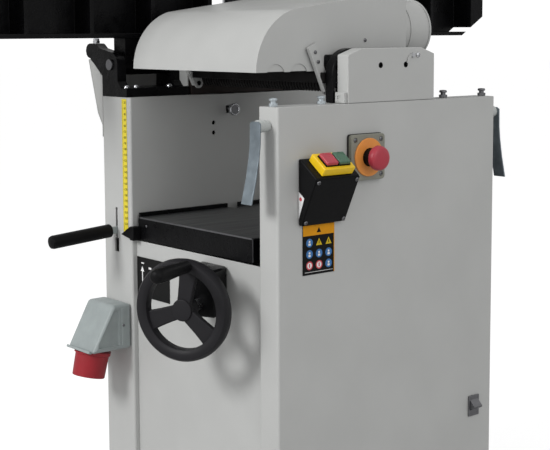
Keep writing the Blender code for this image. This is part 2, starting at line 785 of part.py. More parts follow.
def bracket_outline():
    """An ear round the hinge pin, with an arm up to the lug that the raised table rests on."""
    base = COLUMN_TOP + GAP
    return [
        (-0.180, base),
        (-0.180, base + 0.016),
        (-0.190, base + 0.026),
        *arc((HINGE_X, HINGE_Z), 0.022, 0, 90),
        (-0.246, 0.8700),
        *arc((-0.262, LUG_Z), LUG_RADIUS, 60, 90, 3),
        *arc((-0.278, LUG_Z), LUG_RADIUS, 90, 270),
        (-0.2660, 0.8440),
        (-0.2380, 0.8230),
        (-0.2380, base),
    ]


def hinge_brackets():
    for name, side in (("front", -1), ("rear", 1)):
        y_low, y_high = sorted((side * BRACKET_IN, side * END_FACE))
        base = COLUMN_TOP + GAP
        body = box("base", (-0.238, y_low, base), (-0.162, y_high, base + 0.015))
        for near in (END_FACE - EAR, BRACKET_IN):
            join(body, plate("ear", [bracket_outline()], EAR, facing_y(side * (near + EAR / 2))))
        cut(body, hinge_bar(y_low - 0.01, y_high + 0.01, PIN_RADIUS + GAP))
        finish(body, name + "_hinge_bracket", "black_casting")

        outer = side * (END_FACE + GAP)
        inner = side * (BRACKET_IN - 0.001)
        pin = hinge_bar(inner, outer + side * 0.001, PIN_RADIUS)
        join(pin, hinge_bar(outer, outer + side * 0.003, 0.0095))
        finish(pin, name + "_hinge_pin", "bright_steel", True)


def table_stop_studs():
    """The screws and lock nuts that the lowered surface tables rest on."""
    base = COLUMN_TOP + GAP
    for k, y in enumerate((-0.232, -0.136, 0.137, 0.233)):

        def upright(low, high, radius, sides):
            return cylinder("bar", (LOCK_X, y, base + low), (LOCK_X, y, base + high), radius, sides=sides)

        body = upright(0, 0.0055, 0.0085, 6)
        join(body, upright(0.001, 0.0085, 0.0045, 16), upright(0.0080, 0.0130, 0.0075, 6))
        finish(body, f"table_stop_stud_{k + 1}", "bright_steel")


# Dust hood


def hood_outline(inset):
    """The hood's side outline: a curved front, a top that rises to the rear, and an upright rear."""
    radius = 0.100 - inset
    front = arc((HOOD_FRONT + 0.100, HOOD_EDGE), radius, 180, 105, 10)
    return [
        *front,
        (HOOD_REAR - 0.030, 0.968 - inset),
        (HOOD_REAR - inset, 0.950),
        (HOOD_REAR - inset, HOOD_EDGE),
    ]


def dust_hood():
    middle = (HOOD_LEFT + HOOD_RIGHT) / 2
    width = HOOD_RIGHT - HOOD_LEFT
    spout_x = HOOD_RIGHT - 0.056
    spout_z = 0.900

    def spout(start, end, radius):
        return cylinder("spout", (spout_x, start, spout_z), (spout_x, end, spout_z), radius, sides=40)

    body = plate("hood", [hood_outline(0)], width, facing_x(middle))
    join(body, spout(HOOD_REAR - 0.010, 0.150, SPOUT_RADIUS))
    cut(body, plate("inside", [hood_outline(HOOD_SHEET)], width - 2 * HOOD_SHEET, facing_x(middle)))
    low_corner = (HOOD_LEFT - 0.01, HOOD_FRONT - 0.01, HOOD_EDGE - 0.1)
    cut(body, box("below", low_corner, (HOOD_RIGHT + 0.01, HOOD_REAR + 0.01, HOOD_EDGE + 0.0005)))
    cut(body, spout(HOOD_REAR - 0.020, 0.160, SPOUT_RADIUS - HOOD_SHEET))
    for x in (HOOD_LEFT, HOOD_RIGHT):
        low_corner = (x - 0.01, -0.100, HOOD_EDGE - 0.01)
        cut(body, box("shaft_room", low_corner, (x + 0.01, HOOD_REAR - 0.010, 0.862)))
    for y in (-0.198, -0.152):
        cut(body, cross_bore(HOOD_RIGHT, y, HOOD_EDGE - 0.005, 0.018))
    cut(body, cross_bore(HOOD_LEFT, -0.171, 0.840, 0.021))
    left_arm = HOOD_LEFT + 0.0005, HOOD_LEFT - 0.0008, HOOD_LEFT - 0.0038
    right_arm = HOOD_RIGHT - 0.0005, HOOD_RIGHT + 0.0008, HOOD_RIGHT + 0.0050
    for (shell, inner, outer), pin_end in ((left_arm, -0.171), (right_arm, 0.205)):
        join(body, hood_arm(inner, outer))
        join(body, hood_pivot(shell, outer, HOOD_ARM_TOP, 0.006))
        join(body, hood_pivot(inner, pin_end, (HOOD_PIVOT_Y, HOOD_PIVOT_Z), 0.005))
    finish(body, "dust_hood", "light_grey_paint")


HOOD_ARM_TOP = (-0.125, 0.868)
HOOD_ARM_HALF = 0.010


def hood_pivot(start, end, place, radius):
    return cylinder("pivot", (start, *place), (end, *place), radius, sides=24)


def hood_arm(inner, outer):
    """A strip from the pivot up to the hood's end plate, with a spacer between the two."""
    top = Vector(HOOD_ARM_TOP)
    pivot = Vector((HOOD_PIVOT_Y, HOOD_PIVOT_Z))
    slope = math.degrees(math.atan2(top.y - pivot.y, top.x - pivot.x))
    outline = arc(pivot, HOOD_ARM_HALF, slope + 90, slope + 270, 8)
    outline += arc(top, HOOD_ARM_HALF, slope - 90, slope + 90, 8)
    return plate("arm", [outline], abs(outer - inner), facing_x((inner + outer) / 2))


# Levers, knobs and controls


def feed_lever():
    low_corner = (LEVER_X - 0.0022, -0.2560, LEVER_Z - 0.006)
    body = box("bar", low_corner, (LEVER_X + 0.0022, LEVER_PIVOT_Y, LEVER_Z + 0.006))
    join(body, cross_bore(LEVER_X, LEVER_PIVOT_Y, LEVER_Z, 0.012, reach=0.0045))
    cut(body, cross_bore(LEVER_X, LEVER_PIVOT_Y, LEVER_Z, 0.0053, reach=0.020))
    finish(body, "feed_lever", "zinc_steel")
    start = Vector((LEVER_X, -0.2563, LEVER_Z))
    end = Vector((LEVER_X, -0.3700, LEVER_Z - 0.0085))
    tip = end + (end - start).normalized() * 0.006
    grip = cylinder("grip", start, end, 0.0115, sides=24)
    join(grip, cylinder("end", end - (end - start) * 0.01, tip, 0.0115, 0.007, sides=24))
    low_corner = (LEVER_X - 0.02, start.y, LEVER_Z - 0.02)
    cut(grip, box("bar_end", low_corner, (LEVER_X + 0.02, -0.2, LEVER_Z + 0.02)))
    finish(grip, "feed_lever_grip", "black_plastic", True)


def lock_levers():
    """The levers that lock the lowered surface tables. They hang on the columns' end faces."""
    for name, side in (("front", -1), ("rear", 1)):
        face = side * END_FACE
        reaches = (-0.012, 0.001, 0.0245)
        start, boss_start, end = (Vector((LOCK_X, face + side * y, LOCK_Z)) for y in reaches)
        body = cylinder("shaft", start, end, 0.006, sides=24)
        join(body, cylinder("boss", boss_start, end, 0.0095, sides=24))
        outline = [
            (side * 0.2650, 0.7660),
            (side * 0.2695, 0.7660),
            (side * 0.2700, 0.7450),
            (side * 0.2870, 0.6440),
            (side * 0.2825, 0.6430),
            (side * 0.2655, 0.7440),
        ]
        blade = plate("blade", [outline], 0.023, facing_x(LOCK_X))
        join(body, blade)
        finish(body, name + "_lock_lever", "zinc_steel")


def latch_knob():
    body = cylinder("plunger", (-0.172, KNOB_Y, KNOB_Z), (-0.140, KNOB_Y, KNOB_Z), 0.004, sides=16)
    ends = (-0.1445, KNOB_Y, KNOB_Z), (-0.1345, KNOB_Y, KNOB_Z)
    join(body, cylinder("knob", *ends, KNOB_RADIUS, sides=24))
    finish(body, "latch_knob", "bright_steel", True)


def rounded_square(half, radius):
    points = []
    for k, (sx, sy) in enumerate(((1, 1), (-1, 1), (-1, -1), (1, -1))):
        centre = (ESTOP_Y + sx * (half - radius), ESTOP_Z + sy * (half - radius))
        points += arc(centre, radius, 90 * k, 90 * k + 90, 4)
    return points


def emergency_stop():
    face = RIGHT_OUTER + GAP
    body = plate("plate", [rounded_square(0.036, 0.006)], 0.010, facing_x(face + 0.005))
    cut(body, cross_bore(face + 0.005, ESTOP_Y, ESTOP_Z, 0.0145, reach=0.015, sides=32))
    finish(body, "estop_plate", "grey_plastic")

    start, end = (face + 0.0103, ESTOP_Y, ESTOP_Z), (face + 0.0130, ESTOP_Y, ESTOP_Z)
    finish(ring("disc", start, end, 0.030, 0.0145), "estop_disc", "orange_plastic", True)

    neck_ends = (face + 0.0055, ESTOP_Y, ESTOP_Z), (face + 0.034, ESTOP_Y, ESTOP_Z)
    button = cylinder("neck", *neck_ends, 0.0135)
    cap_ends = (face + 0.0270, ESTOP_Y, ESTOP_Z), (face + 0.0420, ESTOP_Y, ESTOP_Z)
    join(button, cylinder("cap", *cap_ends, 0.0195, 0.0170))
    finish(button, "estop_button", "red_plastic", True)


SWITCH_RIDGE = Vector((0.2820, 0.6810))
SWITCH_TOP = Vector((0.2450, 0.7080))


def switch_matrix():
    """The upper, slanted face: local x along Y, local y up the slope, local z out of it."""
    slope = (SWITCH_TOP - SWITCH_RIDGE).normalized()
    middle = (SWITCH_TOP + SWITCH_RIDGE) / 2
    centre = (middle.x, (SWITCH_FRONT + SWITCH_REAR) / 2, middle.y)
    return in_plane((0, 1, 0), (slope.x, 0, slope.y), centre)


def switch_box():
    wall = RIGHT_OUTER + GAP
    outline = [
        (wall, 0.607),
        (0.2470, 0.607),
        tuple(SWITCH_RIDGE),
        tuple(SWITCH_TOP),
        (wall, 0.708),
    ]
    middle = (SWITCH_FRONT + SWITCH_REAR) / 2
    body = plate("housing", [outline], SWITCH_REAR - SWITCH_FRONT, facing_y(middle))
    bevel(body, 0.002, 1)
    well = box("well", (-0.026, -0.014, -0.010), (0.026, 0.014, 0.010))
    well.data.transform(switch_matrix())
    cut(body, well)
    finish(body, "switch_housing", "black_plastic")

    frame = box("frame", (-0.030, -0.018, GAP), (0.030, 0.018, 0.014))
    cut(frame, box("window", (-0.025, -0.013, -0.01), (0.025, 0.013, 0.02)))
    frame.data.transform(switch_matrix())
    finish(frame, "switch_frame", "yellow_plastic")

    keys = (("stop_button", -0.0240, "red_plastic"), ("start_button", 0.0010, "green_plastic"))
    for name, left, colour in keys:
        button = box("button", (left, -0.012, -0.005), (left + 0.023, 0.012, 0.0205))
        bevel(button, 0.0015, 1)
        button.data.transform(switch_matrix())
        finish(button, name, colour)


def power_inlet():
    """A slanted housing on the left column's front, with a round shroud that opens downwards."""
    left, right = -0.242, -0.158
    face = -END_FACE - GAP
    low, high = 0.351, 0.430
    outline = [(face, low), (face, high), (face - 0.036, high), (face - 0.079, low)]
    body = plate("housing", [outline], right - left, facing_x((left + right) / 2))
    bevel(body, 0.004, 2)
    finish(body, "inlet_housing", "grey_plastic")

    lean = math.radians(13)
    down = Vector((0, -math.sin(lean), -math.cos(lean)))
    top = Vector(((left + right) / 2, face - 0.050, low + 0.010))
    shroud = cylinder("shroud", top, top + down * 0.059, 0.0290, sides=36)
    join(shroud, cylinder("collar", top + down * 0.012, top + down * 0.020, 0.0315, sides=36))
    cut(shroud, box("above", (left - 0.05, face - 0.15, low - GAP), (right + 0.05, face + 0.1, low + 0.05)))
    cut(shroud, cylinder("mouth", top + down * 0.022, top + down * 0.070, 0.0235, sides=36))
    for k in range(5):
        angle = math.radians(72 * k)
        across = Vector((1, 0, 0)) * math.cos(angle) + down.cross(Vector((1, 0, 0))) * math.sin(angle)
        start = top + across * 0.013
        join(shroud, cylinder("pin", start + down * 0.020, start + down * 0.046, 0.003, sides=12))
    finish(shroud, "inlet_shroud", "red_plastic", True)


def signs():
    """The height scale and two plates of generic signs."""
    scale = box("scale", (-0.177, -END_FACE - 0.0010, 0.554), (-0.163, -END_FACE - GAP, 0.784))
    finish(scale, "thickness_scale", "scale_yellow")
    sign = box("sign", (-0.151, -PANEL_FACE - 0.0012, 0.444), (-0.055, -PANEL_FACE - GAP, 0.513))
    finish(sign, "height_sign", "black_plastic")
    label = box("label", (RIGHT_OUTER + GAP, -0.194, 0.529), (RIGHT_OUTER + 0.0010, -0.129, 0.606))
    finish(label, "pictogram_label", "black_plastic")


def build():
    clear_scene()
    for make in (
        base_plinth,
        left_column,
        right_column,
        left_shield,
        panels,
        left_head_casting,
        right_head_casting,
        head_cover,
        cutter_bearings,
        cutterblock,
        rollers,
        anti_kickback_fingers,
        motor,
        belt_and_chain,
        feed_gearbox,
        thickness_table,
        table_lift,
        lead_screw,
        scale_pointer,
        handwheel,
        handwheel_shaft,
        crank_grip,
        handwheel_bracket,
        hinge_brackets,
        table_stop_studs,
        dust_hood,
        feed_lever,
        lock_levers,
        latch_knob,
        emergency_stop,
        switch_box,
        power_inlet,
        signs,
    ):
        make()
    surface_table("front_surface_table", -1)
    surface_table("rear_surface_table", 1)


build()
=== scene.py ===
"""The looks of a combined surface planer and thicknesser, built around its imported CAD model.

The machine stands in its thicknessing position: surface tables tipped up on the left, dust hood
flipped up over the cutterblock, thickness table at its lowest. Units are metres and +Z is up.
A place comes from the box of a CAD node, or is written as a number that matches the CAD model.
Each piece rides on a CAD body.
"""

import math

import bmesh
import bpy
from mathutils import Matrix, Vector


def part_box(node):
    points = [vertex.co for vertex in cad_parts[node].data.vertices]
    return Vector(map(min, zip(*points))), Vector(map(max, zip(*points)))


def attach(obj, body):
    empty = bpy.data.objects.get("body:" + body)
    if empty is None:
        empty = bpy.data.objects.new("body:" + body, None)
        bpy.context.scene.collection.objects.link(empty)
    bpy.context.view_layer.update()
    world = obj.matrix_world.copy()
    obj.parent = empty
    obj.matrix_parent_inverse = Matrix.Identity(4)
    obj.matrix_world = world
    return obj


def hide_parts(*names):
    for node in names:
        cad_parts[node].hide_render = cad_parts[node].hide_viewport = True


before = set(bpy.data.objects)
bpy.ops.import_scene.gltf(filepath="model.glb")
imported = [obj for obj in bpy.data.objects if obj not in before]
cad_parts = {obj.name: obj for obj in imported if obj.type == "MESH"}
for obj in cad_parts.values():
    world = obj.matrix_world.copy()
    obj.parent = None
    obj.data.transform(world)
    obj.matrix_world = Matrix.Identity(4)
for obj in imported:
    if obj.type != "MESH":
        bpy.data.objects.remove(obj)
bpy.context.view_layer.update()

TINY = 0.0003  # left between a detail and the face it sits on
SIDES = 64  # of a round piece that is seen close

# Places that more than one piece uses. A pair is (Y, Z).
CUT_LEFT, CUT_RIGHT = -0.140, 0.175  # the ends of the cutting width, in X
FINGER_ROD = (-0.096, 0.842)
HOOD_PIVOT = (-0.098, 0.808)
HOOD_ARM_TOP = (-0.125, 0.868)
LOCK_Z = 0.759


# Shape helpers


def link(obj):
    bpy.context.scene.collection.objects.link(obj)


def as_object(bm, matrix=Matrix()):
    """A new object that holds the bmesh, moved by the matrix."""
    mesh = bpy.data.meshes.new("piece")
    bmesh.ops.recalc_face_normals(bm, faces=bm.faces)
    bm.to_mesh(mesh)
    bm.free()
    mesh.transform(matrix)
    obj = bpy.data.objects.new("piece", mesh)
    link(obj)
    return obj


def round_edges(bm, radius, segments, edges=None):
    bmesh.ops.bevel(
        bm,
        geom=list(edges or bm.edges),
        offset=radius,
        segments=segments,
        profile=0.5,
        affect="EDGES",
        clamp_overlap=True,
    )


def sharp_edges(bm, degrees=30):
    return [e for e in bm.edges if e.is_manifold and e.calc_face_angle(0) > math.radians(degrees)]


def cuboid(low, high):
    """The bmesh of a box between two corners."""
    low, high = Vector(low), Vector(high)
    bm = bmesh.new()
    place = Matrix.Translation((low + high) / 2) @ Matrix.Diagonal((*(high - low), 1))
    bmesh.ops.create_cube(bm, size=1, matrix=place)
    return bm


def box(low, high, radius=0.0, segments=3, matrix=Matrix()):
    """A box between two corners, with its edges rounded."""
    bm = cuboid(low, high)
    if radius:
        round_edges(bm, radius, segments)
    return as_object(bm, matrix)


def plate(points, thickness, matrix, radius=0.0, segments=2):
    """A flat plate with the given outline, centred on its plane, with its edges rounded."""
    bm = bmesh.new()
    face = bm.faces.new([bm.verts.new((x, y, -thickness / 2)) for x, y in points])
    raised = bmesh.ops.extrude_face_region(bm, geom=[face])["geom"]
    lifted = [v for v in raised if isinstance(v, bmesh.types.BMVert)]
    bmesh.ops.translate(bm, vec=(0, 0, thickness), verts=lifted)
    bmesh.ops.recalc_face_normals(bm, faces=bm.faces)
    if radius:
        round_edges(bm, radius, segments, sharp_edges(bm))
    return as_object(bm, matrix)


def along(start, direction):
    """The matrix that turns local z to the direction and puts the origin at start."""
    return Matrix.Translation(start) @ Vector(direction).to_track_quat("Z", "Y").to_matrix().to_4x4()


def turned(profile, start, direction, sides=SIDES):
    """A turned piece. The profile runs as (distance, radius) from one end on the axis to the other."""
    bm = bmesh.new()
    rings = []
    for distance, radius in profile:
        if radius < 1e-6:
            rings.append([bm.verts.new((0, 0, distance))])
            continue
        turns = [2 * math.pi * k / sides for k in range(sides)]
        rings.append([bm.verts.new((radius * math.cos(a), radius * math.sin(a), distance)) for a in turns])
    for near, far in zip(rings, rings[1:]):
        for k in range(sides):
            corners = [near[k % len(near)], near[(k + 1) % len(near)]]
            corners += [far[(k + 1) % len(far)], far[k % len(far)]]
            bm.faces.new(list(dict.fromkeys(corners)))
    if len(rings[0]) > 1 and profile[0] == profile[-1]:
        bmesh.ops.remove_doubles(bm, verts=bm.verts, dist=1e-7)
    return as_object(bm, along(start, direction))


def rod(start, end, radius, edge=0.0005, sides=SIDES):
    """A round bar with its end edges rounded."""
    start, end = Vector(start), Vector(end)
    length = (end - start).length
    profile = [(0, 0), *corner(0, radius, edge, -1), *corner(length, radius, edge, 1), (length, 0)]
    return turned(profile, start, end - start, sides)


def rod_x(start, end, place, radius, sides=SIDES):
    """A round bar from one X to another, at a (Y, Z) place."""
    return rod((start, *place), (end, *place), radius, sides=sides)


def corner(distance, radius, edge, side, steps=3):
    """Points of a profile round an outer corner; side is -1 at the near end and 1 at the far end."""
    turns = [math.pi / 2 * k / steps for k in range(steps + 1)]
    if side < 0:
        return [(distance + edge * (1 - math.cos(a)), radius - edge * (1 - math.sin(a))) for a in turns]
    return [(distance - edge * (1 - math.sin(a)), radius - edge * (1 - math.cos(a))) for a in turns]


def ring(place, inner, outer, thickness, direction, sides=SIDES):
    """A flat ring that stands on place."""
    profile = [(0, inner), (0, outer), (thickness, outer), (thickness, inner), (0, inner)]
    return turned(profile, place, direction, sides)


def disc(place, radius, thickness, direction=(1, 0, 0), sides=48):
    """A flat disc that stands on place."""
    return turned([(0, 0), (0, radius), (thickness, radius), (thickness, 0)], place, direction, sides)


def arc(centre, radius, start, end, steps=8):
    """Points on an arc, with its angles in degrees."""
    angles = [math.radians(start + (end - start) * i / steps) for i in range(steps + 1)]
    return [(centre[0] + radius * math.cos(a), centre[1] + radius * math.sin(a)) for a in angles]


def in_plane(across, up, origin):
    """The matrix of a flat outline whose x runs along across and whose y runs along up."""
    across, up = Vector(across), Vector(up)
    return Matrix.Translation(origin) @ Matrix((across, up, across.cross(up))).transposed().to_4x4()


def facing_x(x):
    """Outline x is Y and outline y is Z."""
    return in_plane((0, 1, 0), (0, 0, 1), (x, 0, 0))


def facing_y(y):
    """Outline x is X and outline y is Z."""
    return in_plane((1, 0, 0), (0, 0, 1), (0, y, 0))


def across_x(points, start, end, radius=0.0, segments=2):
    """A plate with its outline in Y and Z, which runs from one X to another."""
    return plate(points, end - start, facing_x((start + end) / 2), radius, segments)


def rectangle(left, base, right, top):
    return [(left, base), (right, base), (right, top), (left, top)]


def middle_of(node):
    """The centre of a CAD node's box."""
    return sum(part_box(node), Vector()) / 2


def settle(obj):
    """Makes the object's modifiers part of its mesh."""
    mesh = bpy.data.meshes.new_from_object(obj.evaluated_get(bpy.context.evaluated_depsgraph_get()))
    obj.modifiers.clear()
    obj.data = mesh
    return obj


def combine(target, others, operation):
    for other in others:
        modifier = target.modifiers.new(operation, "BOOLEAN")
        modifier.operation = operation
        modifier.object = other
        settle(target)
        bpy.data.objects.remove(other)
    return target


def join(target, *others):
    return combine(target, others, "UNION")


def cut(target, *others):
    return combine(target, others, "DIFFERENCE")


def gather(objects):
    """One object that holds several separate solids, such as a set of like screws."""
    bm = bmesh.new()
    for obj in objects:
        bm.from_mesh(obj.data)
        bpy.data.objects.remove(obj)
    return as_object(bm)


def shade(obj, degrees=35):
    obj.data.shade_smooth()
    obj.data.set_sharp_from_angle(angle=math.radians(degrees))
    normals = obj.modifiers.new("normals", "WEIGHTED_NORMAL")
    normals.keep_sharp = True


def add(obj, name, look, body, *replaced):
    """Names a piece, gives it its look, and makes it ride on a body."""
    obj.name = name
    obj.data.name = name
    obj.data.materials.clear()
    obj.data.materials.append(look_of(look))
    shade(obj)
    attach(obj, body)
    if replaced:
        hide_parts(*replaced)
    return obj


def keep(node, look, width=0.0, segments=2):
    """Gives a CAD node its look, and rounds its edges where a width is given."""
    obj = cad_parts[node]
    obj.data.materials.clear()
    obj.data.materials.append(look_of(look))
    for face in obj.data.polygons:
        face.material_index = 0
    weld = obj.modifiers.new("weld", "WELD")
    weld.merge_threshold = 1e-5
    flat = obj.modifiers.new("flat", "DECIMATE")
    flat.decimate_type = "DISSOLVE"
    flat.angle_limit = math.radians(1)
    if width:
        modifier = obj.modifiers.new("round", "BEVEL")
        modifier.width = width
        modifier.segments = segments
        modifier.limit_method = "ANGLE"
        modifier.angle_limit = math.radians(40)
    smooth = obj.modifiers.new("normals", "WEIGHTED_NORMAL")
    smooth.keep_sharp = True
    custom = obj.data.attributes.get("custom_normal")
    if custom:
        obj.data.attributes.remove(custom)
    obj.data.shade_smooth()
    obj.data.set_sharp_from_angle(angle=math.radians(30))
    return obj


# Materials


def tree_of(owner):
    """The nodes and the links of a material or a world."""
    return owner.node_tree.nodes, owner.node_tree.links


def base_look(name, colour, roughness, metallic=0.0, specular=0.5):
    material = bpy.data.materials.new(name)
    material.use_nodes = True
    shader = material.node_tree.nodes["Principled BSDF"]
    shader.inputs["Base Color"].default_value = (*colour, 1)
    shader.inputs["Roughness"].default_value = roughness
    shader.inputs["Metallic"].default_value = metallic
    shader.inputs["Specular IOR Level"].default_value = specular
    return material


def grain(material, scale, stretch=(1, 1, 1), detail=3.0):
    """A noise over the object's own coordinates, per metre, and stretched along an axis if asked."""
    nodes, links = tree_of(material)
    place = nodes.new("ShaderNodeTexCoord")
    mapping = nodes.new("ShaderNodeMapping")
    mapping.inputs["Scale"].default_value = stretch
    noise = nodes.new("ShaderNodeTexNoise")
    noise.inputs["Scale"].default_value = scale
    noise.inputs["Detail"].default_value = detail
    links.new(place.outputs["Object"], mapping.inputs["Vector"])
    links.new(mapping.outputs["Vector"], noise.inputs["Vector"])
    return noise.outputs["Fac"]


def vary(material, socket, low, high, source):
    """Drives a number on the shader between low and high."""
    nodes, links = tree_of(material)
    spread = nodes.new("ShaderNodeMapRange")
    spread.inputs["From Min"].default_value = 0.3
    spread.inputs["From Max"].default_value = 0.7
    spread.inputs["To Min"].default_value = low
    spread.inputs["To Max"].default_value = high
    links.new(source, spread.inputs["Value"])
    links.new(spread.outputs["Result"], nodes["Principled BSDF"].inputs[socket])


def tint(material, dark, light, source, low=0.35, high=0.65):
    """Colours the shader between dark and light, by a noise."""
    nodes, links = tree_of(material)
    ramp = nodes.new("ShaderNodeValToRGB")
    ramp.color_ramp.elements[0].position = low
    ramp.color_ramp.elements[0].color = (*dark, 1)
    ramp.color_ramp.elements[1].position = high
    ramp.color_ramp.elements[1].color = (*light, 1)
    links.new(source, ramp.inputs["Fac"])
    links.new(ramp.outputs["Color"], nodes["Principled BSDF"].inputs["Base Color"])


def relief(material, depth, source):
    """Raises the surface by a noise; a second call lies on top of the first."""
    nodes, links = tree_of(material)
    bump = nodes.new("ShaderNodeBump")
    bump.inputs["Distance"].default_value = depth
    bump.inputs["Strength"].default_value = 0.6
    normal = nodes["Principled BSDF"].inputs["Normal"]
    if normal.is_linked:
        links.new(normal.links[0].from_socket, bump.inputs["Normal"])
    links.new(source, bump.inputs["Height"])
    links.new(bump.outputs["Normal"], normal)


def shades(colour, spread):
    """A colour made darker and lighter by the same share."""
    return tuple(c * (1 - spread) for c in colour), tuple(c * (1 + spread) for c in colour)


def powder_coat(name, colour):
    """Baked powder paint: a fine orange peel over faint sheet waviness."""
    material = base_look(name, colour, 0.45, specular=0.4)
    tint(material, *shades(colour, 0.025), grain(material, 9, detail=4))
    vary(material, "Roughness", 0.38, 0.50, grain(material, 30))
    relief(material, 0.00015, grain(material, 900, detail=1))
    relief(material, 0.0010, grain(material, 6, detail=1))
    return material


def cast_enamel(name, colour, roughness=0.28):
    """Gloss enamel over a sand casting, with the casting's grain showing through."""
    material = base_look(name, colour, roughness, specular=0.12)
    tint(material, *shades(colour, 0.25), grain(material, 25, detail=5))
    vary(material, "Roughness", roughness - 0.06, roughness + 0.14, grain(material, 60))
    relief(material, 0.0006, grain(material, 320, detail=4))
    relief(material, 0.0015, grain(material, 45, detail=2))
    return material


def planed_iron(name, colour, roughness=0.36):
    """A machined cast-iron face, with fine marks along the feed."""
    material = base_look(name, colour, roughness, metallic=0.85)
    tint(material, *shades(colour, 0.10), grain(material, 12, (1, 0.4, 1), 5))
    vary(material, "Roughness", roughness - 0.07, roughness + 0.09, grain(material, 300, (1, 0.03, 1)))
    relief(material, 0.00012, grain(material, 1500, (1, 0.02, 1), 2))
    return material


def turned_steel(name, colour, roughness=0.25, metallic=1.0):
    material = base_look(name, colour, roughness, metallic=metallic)
    tint(material, *shades(colour, 0.08), grain(material, 140, detail=4))
    vary(material, "Roughness", roughness - 0.06, roughness + 0.10, grain(material, 500))
    relief(material, 0.00006, grain(material, 1800, detail=2))
    return material


def zinc_plate(name, colour):
    """Blue-white zinc plating, a little cloudy."""
    material = base_look(name, colour, 0.38, metallic=0.75)
    tint(material, *shades(colour, 0.12), grain(material, 70, detail=6))
    vary(material, "Roughness", 0.28, 0.48, grain(material, 110, detail=5))
    relief(material, 0.00010, grain(material, 900, detail=3))
    return material


def moulded(name, colour, roughness=0.42, specular=0.45):
    """Moulded plastic with a fine spark-eroded texture."""
    material = base_look(name, colour, roughness, specular=specular)
    tint(material, *shades(colour, 0.05), grain(material, 40))
    vary(material, "Roughness", roughness - 0.05, roughness + 0.07, grain(material, 200))
    relief(material, 0.00012, grain(material, 1600, detail=2))
    return material


def printed(name, colour):
    """Ink on a sticker."""
    material = base_look(name, colour, 0.35, specular=0.12)
    tint(material, *shades(colour, 0.04), grain(material, 90))
    vary(material, "Roughness", 0.30, 0.42, grain(material, 250))
    return material


# Each look: its slot, then the function that makes it and what that is given.
LOOKS = {
    "paint": ("light_grey_paint", powder_coat, (0.475, 0.48, 0.47)),
    "enamel": ("black_casting", cast_enamel, (0.0035, 0.0035, 0.0040)),
    "dark_iron": ("black_casting", cast_enamel, (0.030, 0.023, 0.021), 0.42),
    "planed_iron": ("machined_iron", planed_iron, (0.120, 0.122, 0.126)),
    # Near-black on the kickback fingers and the front crossbar: painted shade for the shadow under the dust
    # hood.
    "soot": ("black_casting", cast_enamel, (0.012, 0.011, 0.011), 0.5),
    "steel": ("bright_steel", turned_steel, (0.62, 0.63, 0.65)),
    "dark_steel": ("machined_iron", turned_steel, (0.20, 0.20, 0.21), 0.38),
    "zinc": ("zinc_steel", zinc_plate, (0.22, 0.26, 0.29)),
    "bright_zinc": ("bright_steel", zinc_plate, (0.50, 0.55, 0.58)),
    "pale_knob": ("grey_plastic", moulded, (0.46, 0.48, 0.47), 0.28),
    "black": ("black_plastic", moulded, (0.0055, 0.0055, 0.0060), 0.42, 0.10),
    "wheel_black": ("black_plastic", moulded, (0.0150, 0.0145, 0.0165), 0.48, 0.16),
    "yellow": ("yellow_plastic", moulded, (0.86, 0.56, 0.010), 0.35),
    "red": ("red_plastic", moulded, (0.40, 0.035, 0.055), 0.38),
    "stop_red": ("red_plastic", moulded, (0.42, 0.045, 0.065), 0.30),
    "go_green": ("green_plastic", moulded, (0.060, 0.135, 0.085), 0.30),
    "inlet_red": ("red_plastic", moulded, (0.30, 0.010, 0.018), 0.35),
    "inlet_grey": ("grey_plastic", moulded, (0.29, 0.325, 0.325), 0.45),
    "plate_grey": ("grey_plastic", moulded, (0.235, 0.235, 0.195), 0.5),
    "orange": ("orange_plastic", moulded, (0.80, 0.30, 0.06), 0.4),
    "rubber": ("rubber", moulded, (0.025, 0.025, 0.025), 0.7),
    "scale_yellow": ("scale_yellow", printed, (0.46, 0.38, 0.045)),
    "ink_black": ("black_plastic", printed, (0.007, 0.007, 0.007)),
    "ink_white": ("grey_plastic", printed, (0.80, 0.80, 0.80)),
    "ink_orange": ("orange_plastic", printed, (0.66, 0.28, 0.010)),
    "ink_yellow": ("scale_yellow", printed, (0.60, 0.42, 0.02)),
    "ink_blue": ("black_plastic", printed, (0.06, 0.18, 0.42)),
    "ink_red": ("red_plastic", printed, (0.60, 0.10, 0.12)),
}


def look_of(look):
    found = bpy.data.materials.get(look)
    if found:
        return found
    make, colour, *rest = LOOKS[look][1:]
    return make(look, colour, *rest)


# Small hardware


def hex_nut(centre, across, height, direction):
    """A six-sided nut or head with its corners turned down, standing on centre."""
    radius = across / math.sqrt(3)
    bm = bmesh.new()
    bmesh.ops.create_cone(bm, cap_ends=True, segments=6, radius1=radius, radius2=radius, depth=height)
    bmesh.ops.translate(bm, vec=(0, 0, height / 2), verts=bm.verts)
    nut = as_object(bm, along(centre, direction))
    top = height + 0.0001
    rounding = [(-0.001, 0), (-0.001, across * 0.52), (height - 0.0008, across * 0.58), (top, across * 0.49)]
    dome = turned([*rounding, (top, 0)], centre, direction, 48)
    return combine(nut, [dome], "INTERSECT")


def screw_head(centre, radius, height, direction, drive="cross"):
    """A pan head with its drive cut into it, standing on centre."""
    dome = [(0, 0), (0, radius), (height * 0.35, radius), (height * 0.75, radius * 0.86)]
    head = turned([*dome, (height, radius * 0.55), (height * 1.04, 0)], centre, direction, 40)
    matrix = along(centre, direction)
    arm, width = radius * 0.62, radius * 0.11
    if drive == "cross":
        for a, b in ((arm, width), (width, arm)):
            cut(head, box((-a, -b, height * 0.45), (a, b, height * 2), matrix=matrix))
    elif drive == "socket":
        recess = turned([(0, 0), (0, arm), (height * 2, arm), (height * 2, 0)], (0, 0, 0), (0, 0, 1), 6)
        recess.data.transform(matrix @ Matrix.Translation((0, 0, height * 0.35)))
        cut(head, recess)
    return head


# Cabinet

WALL = 0.003
BEND = 0.004


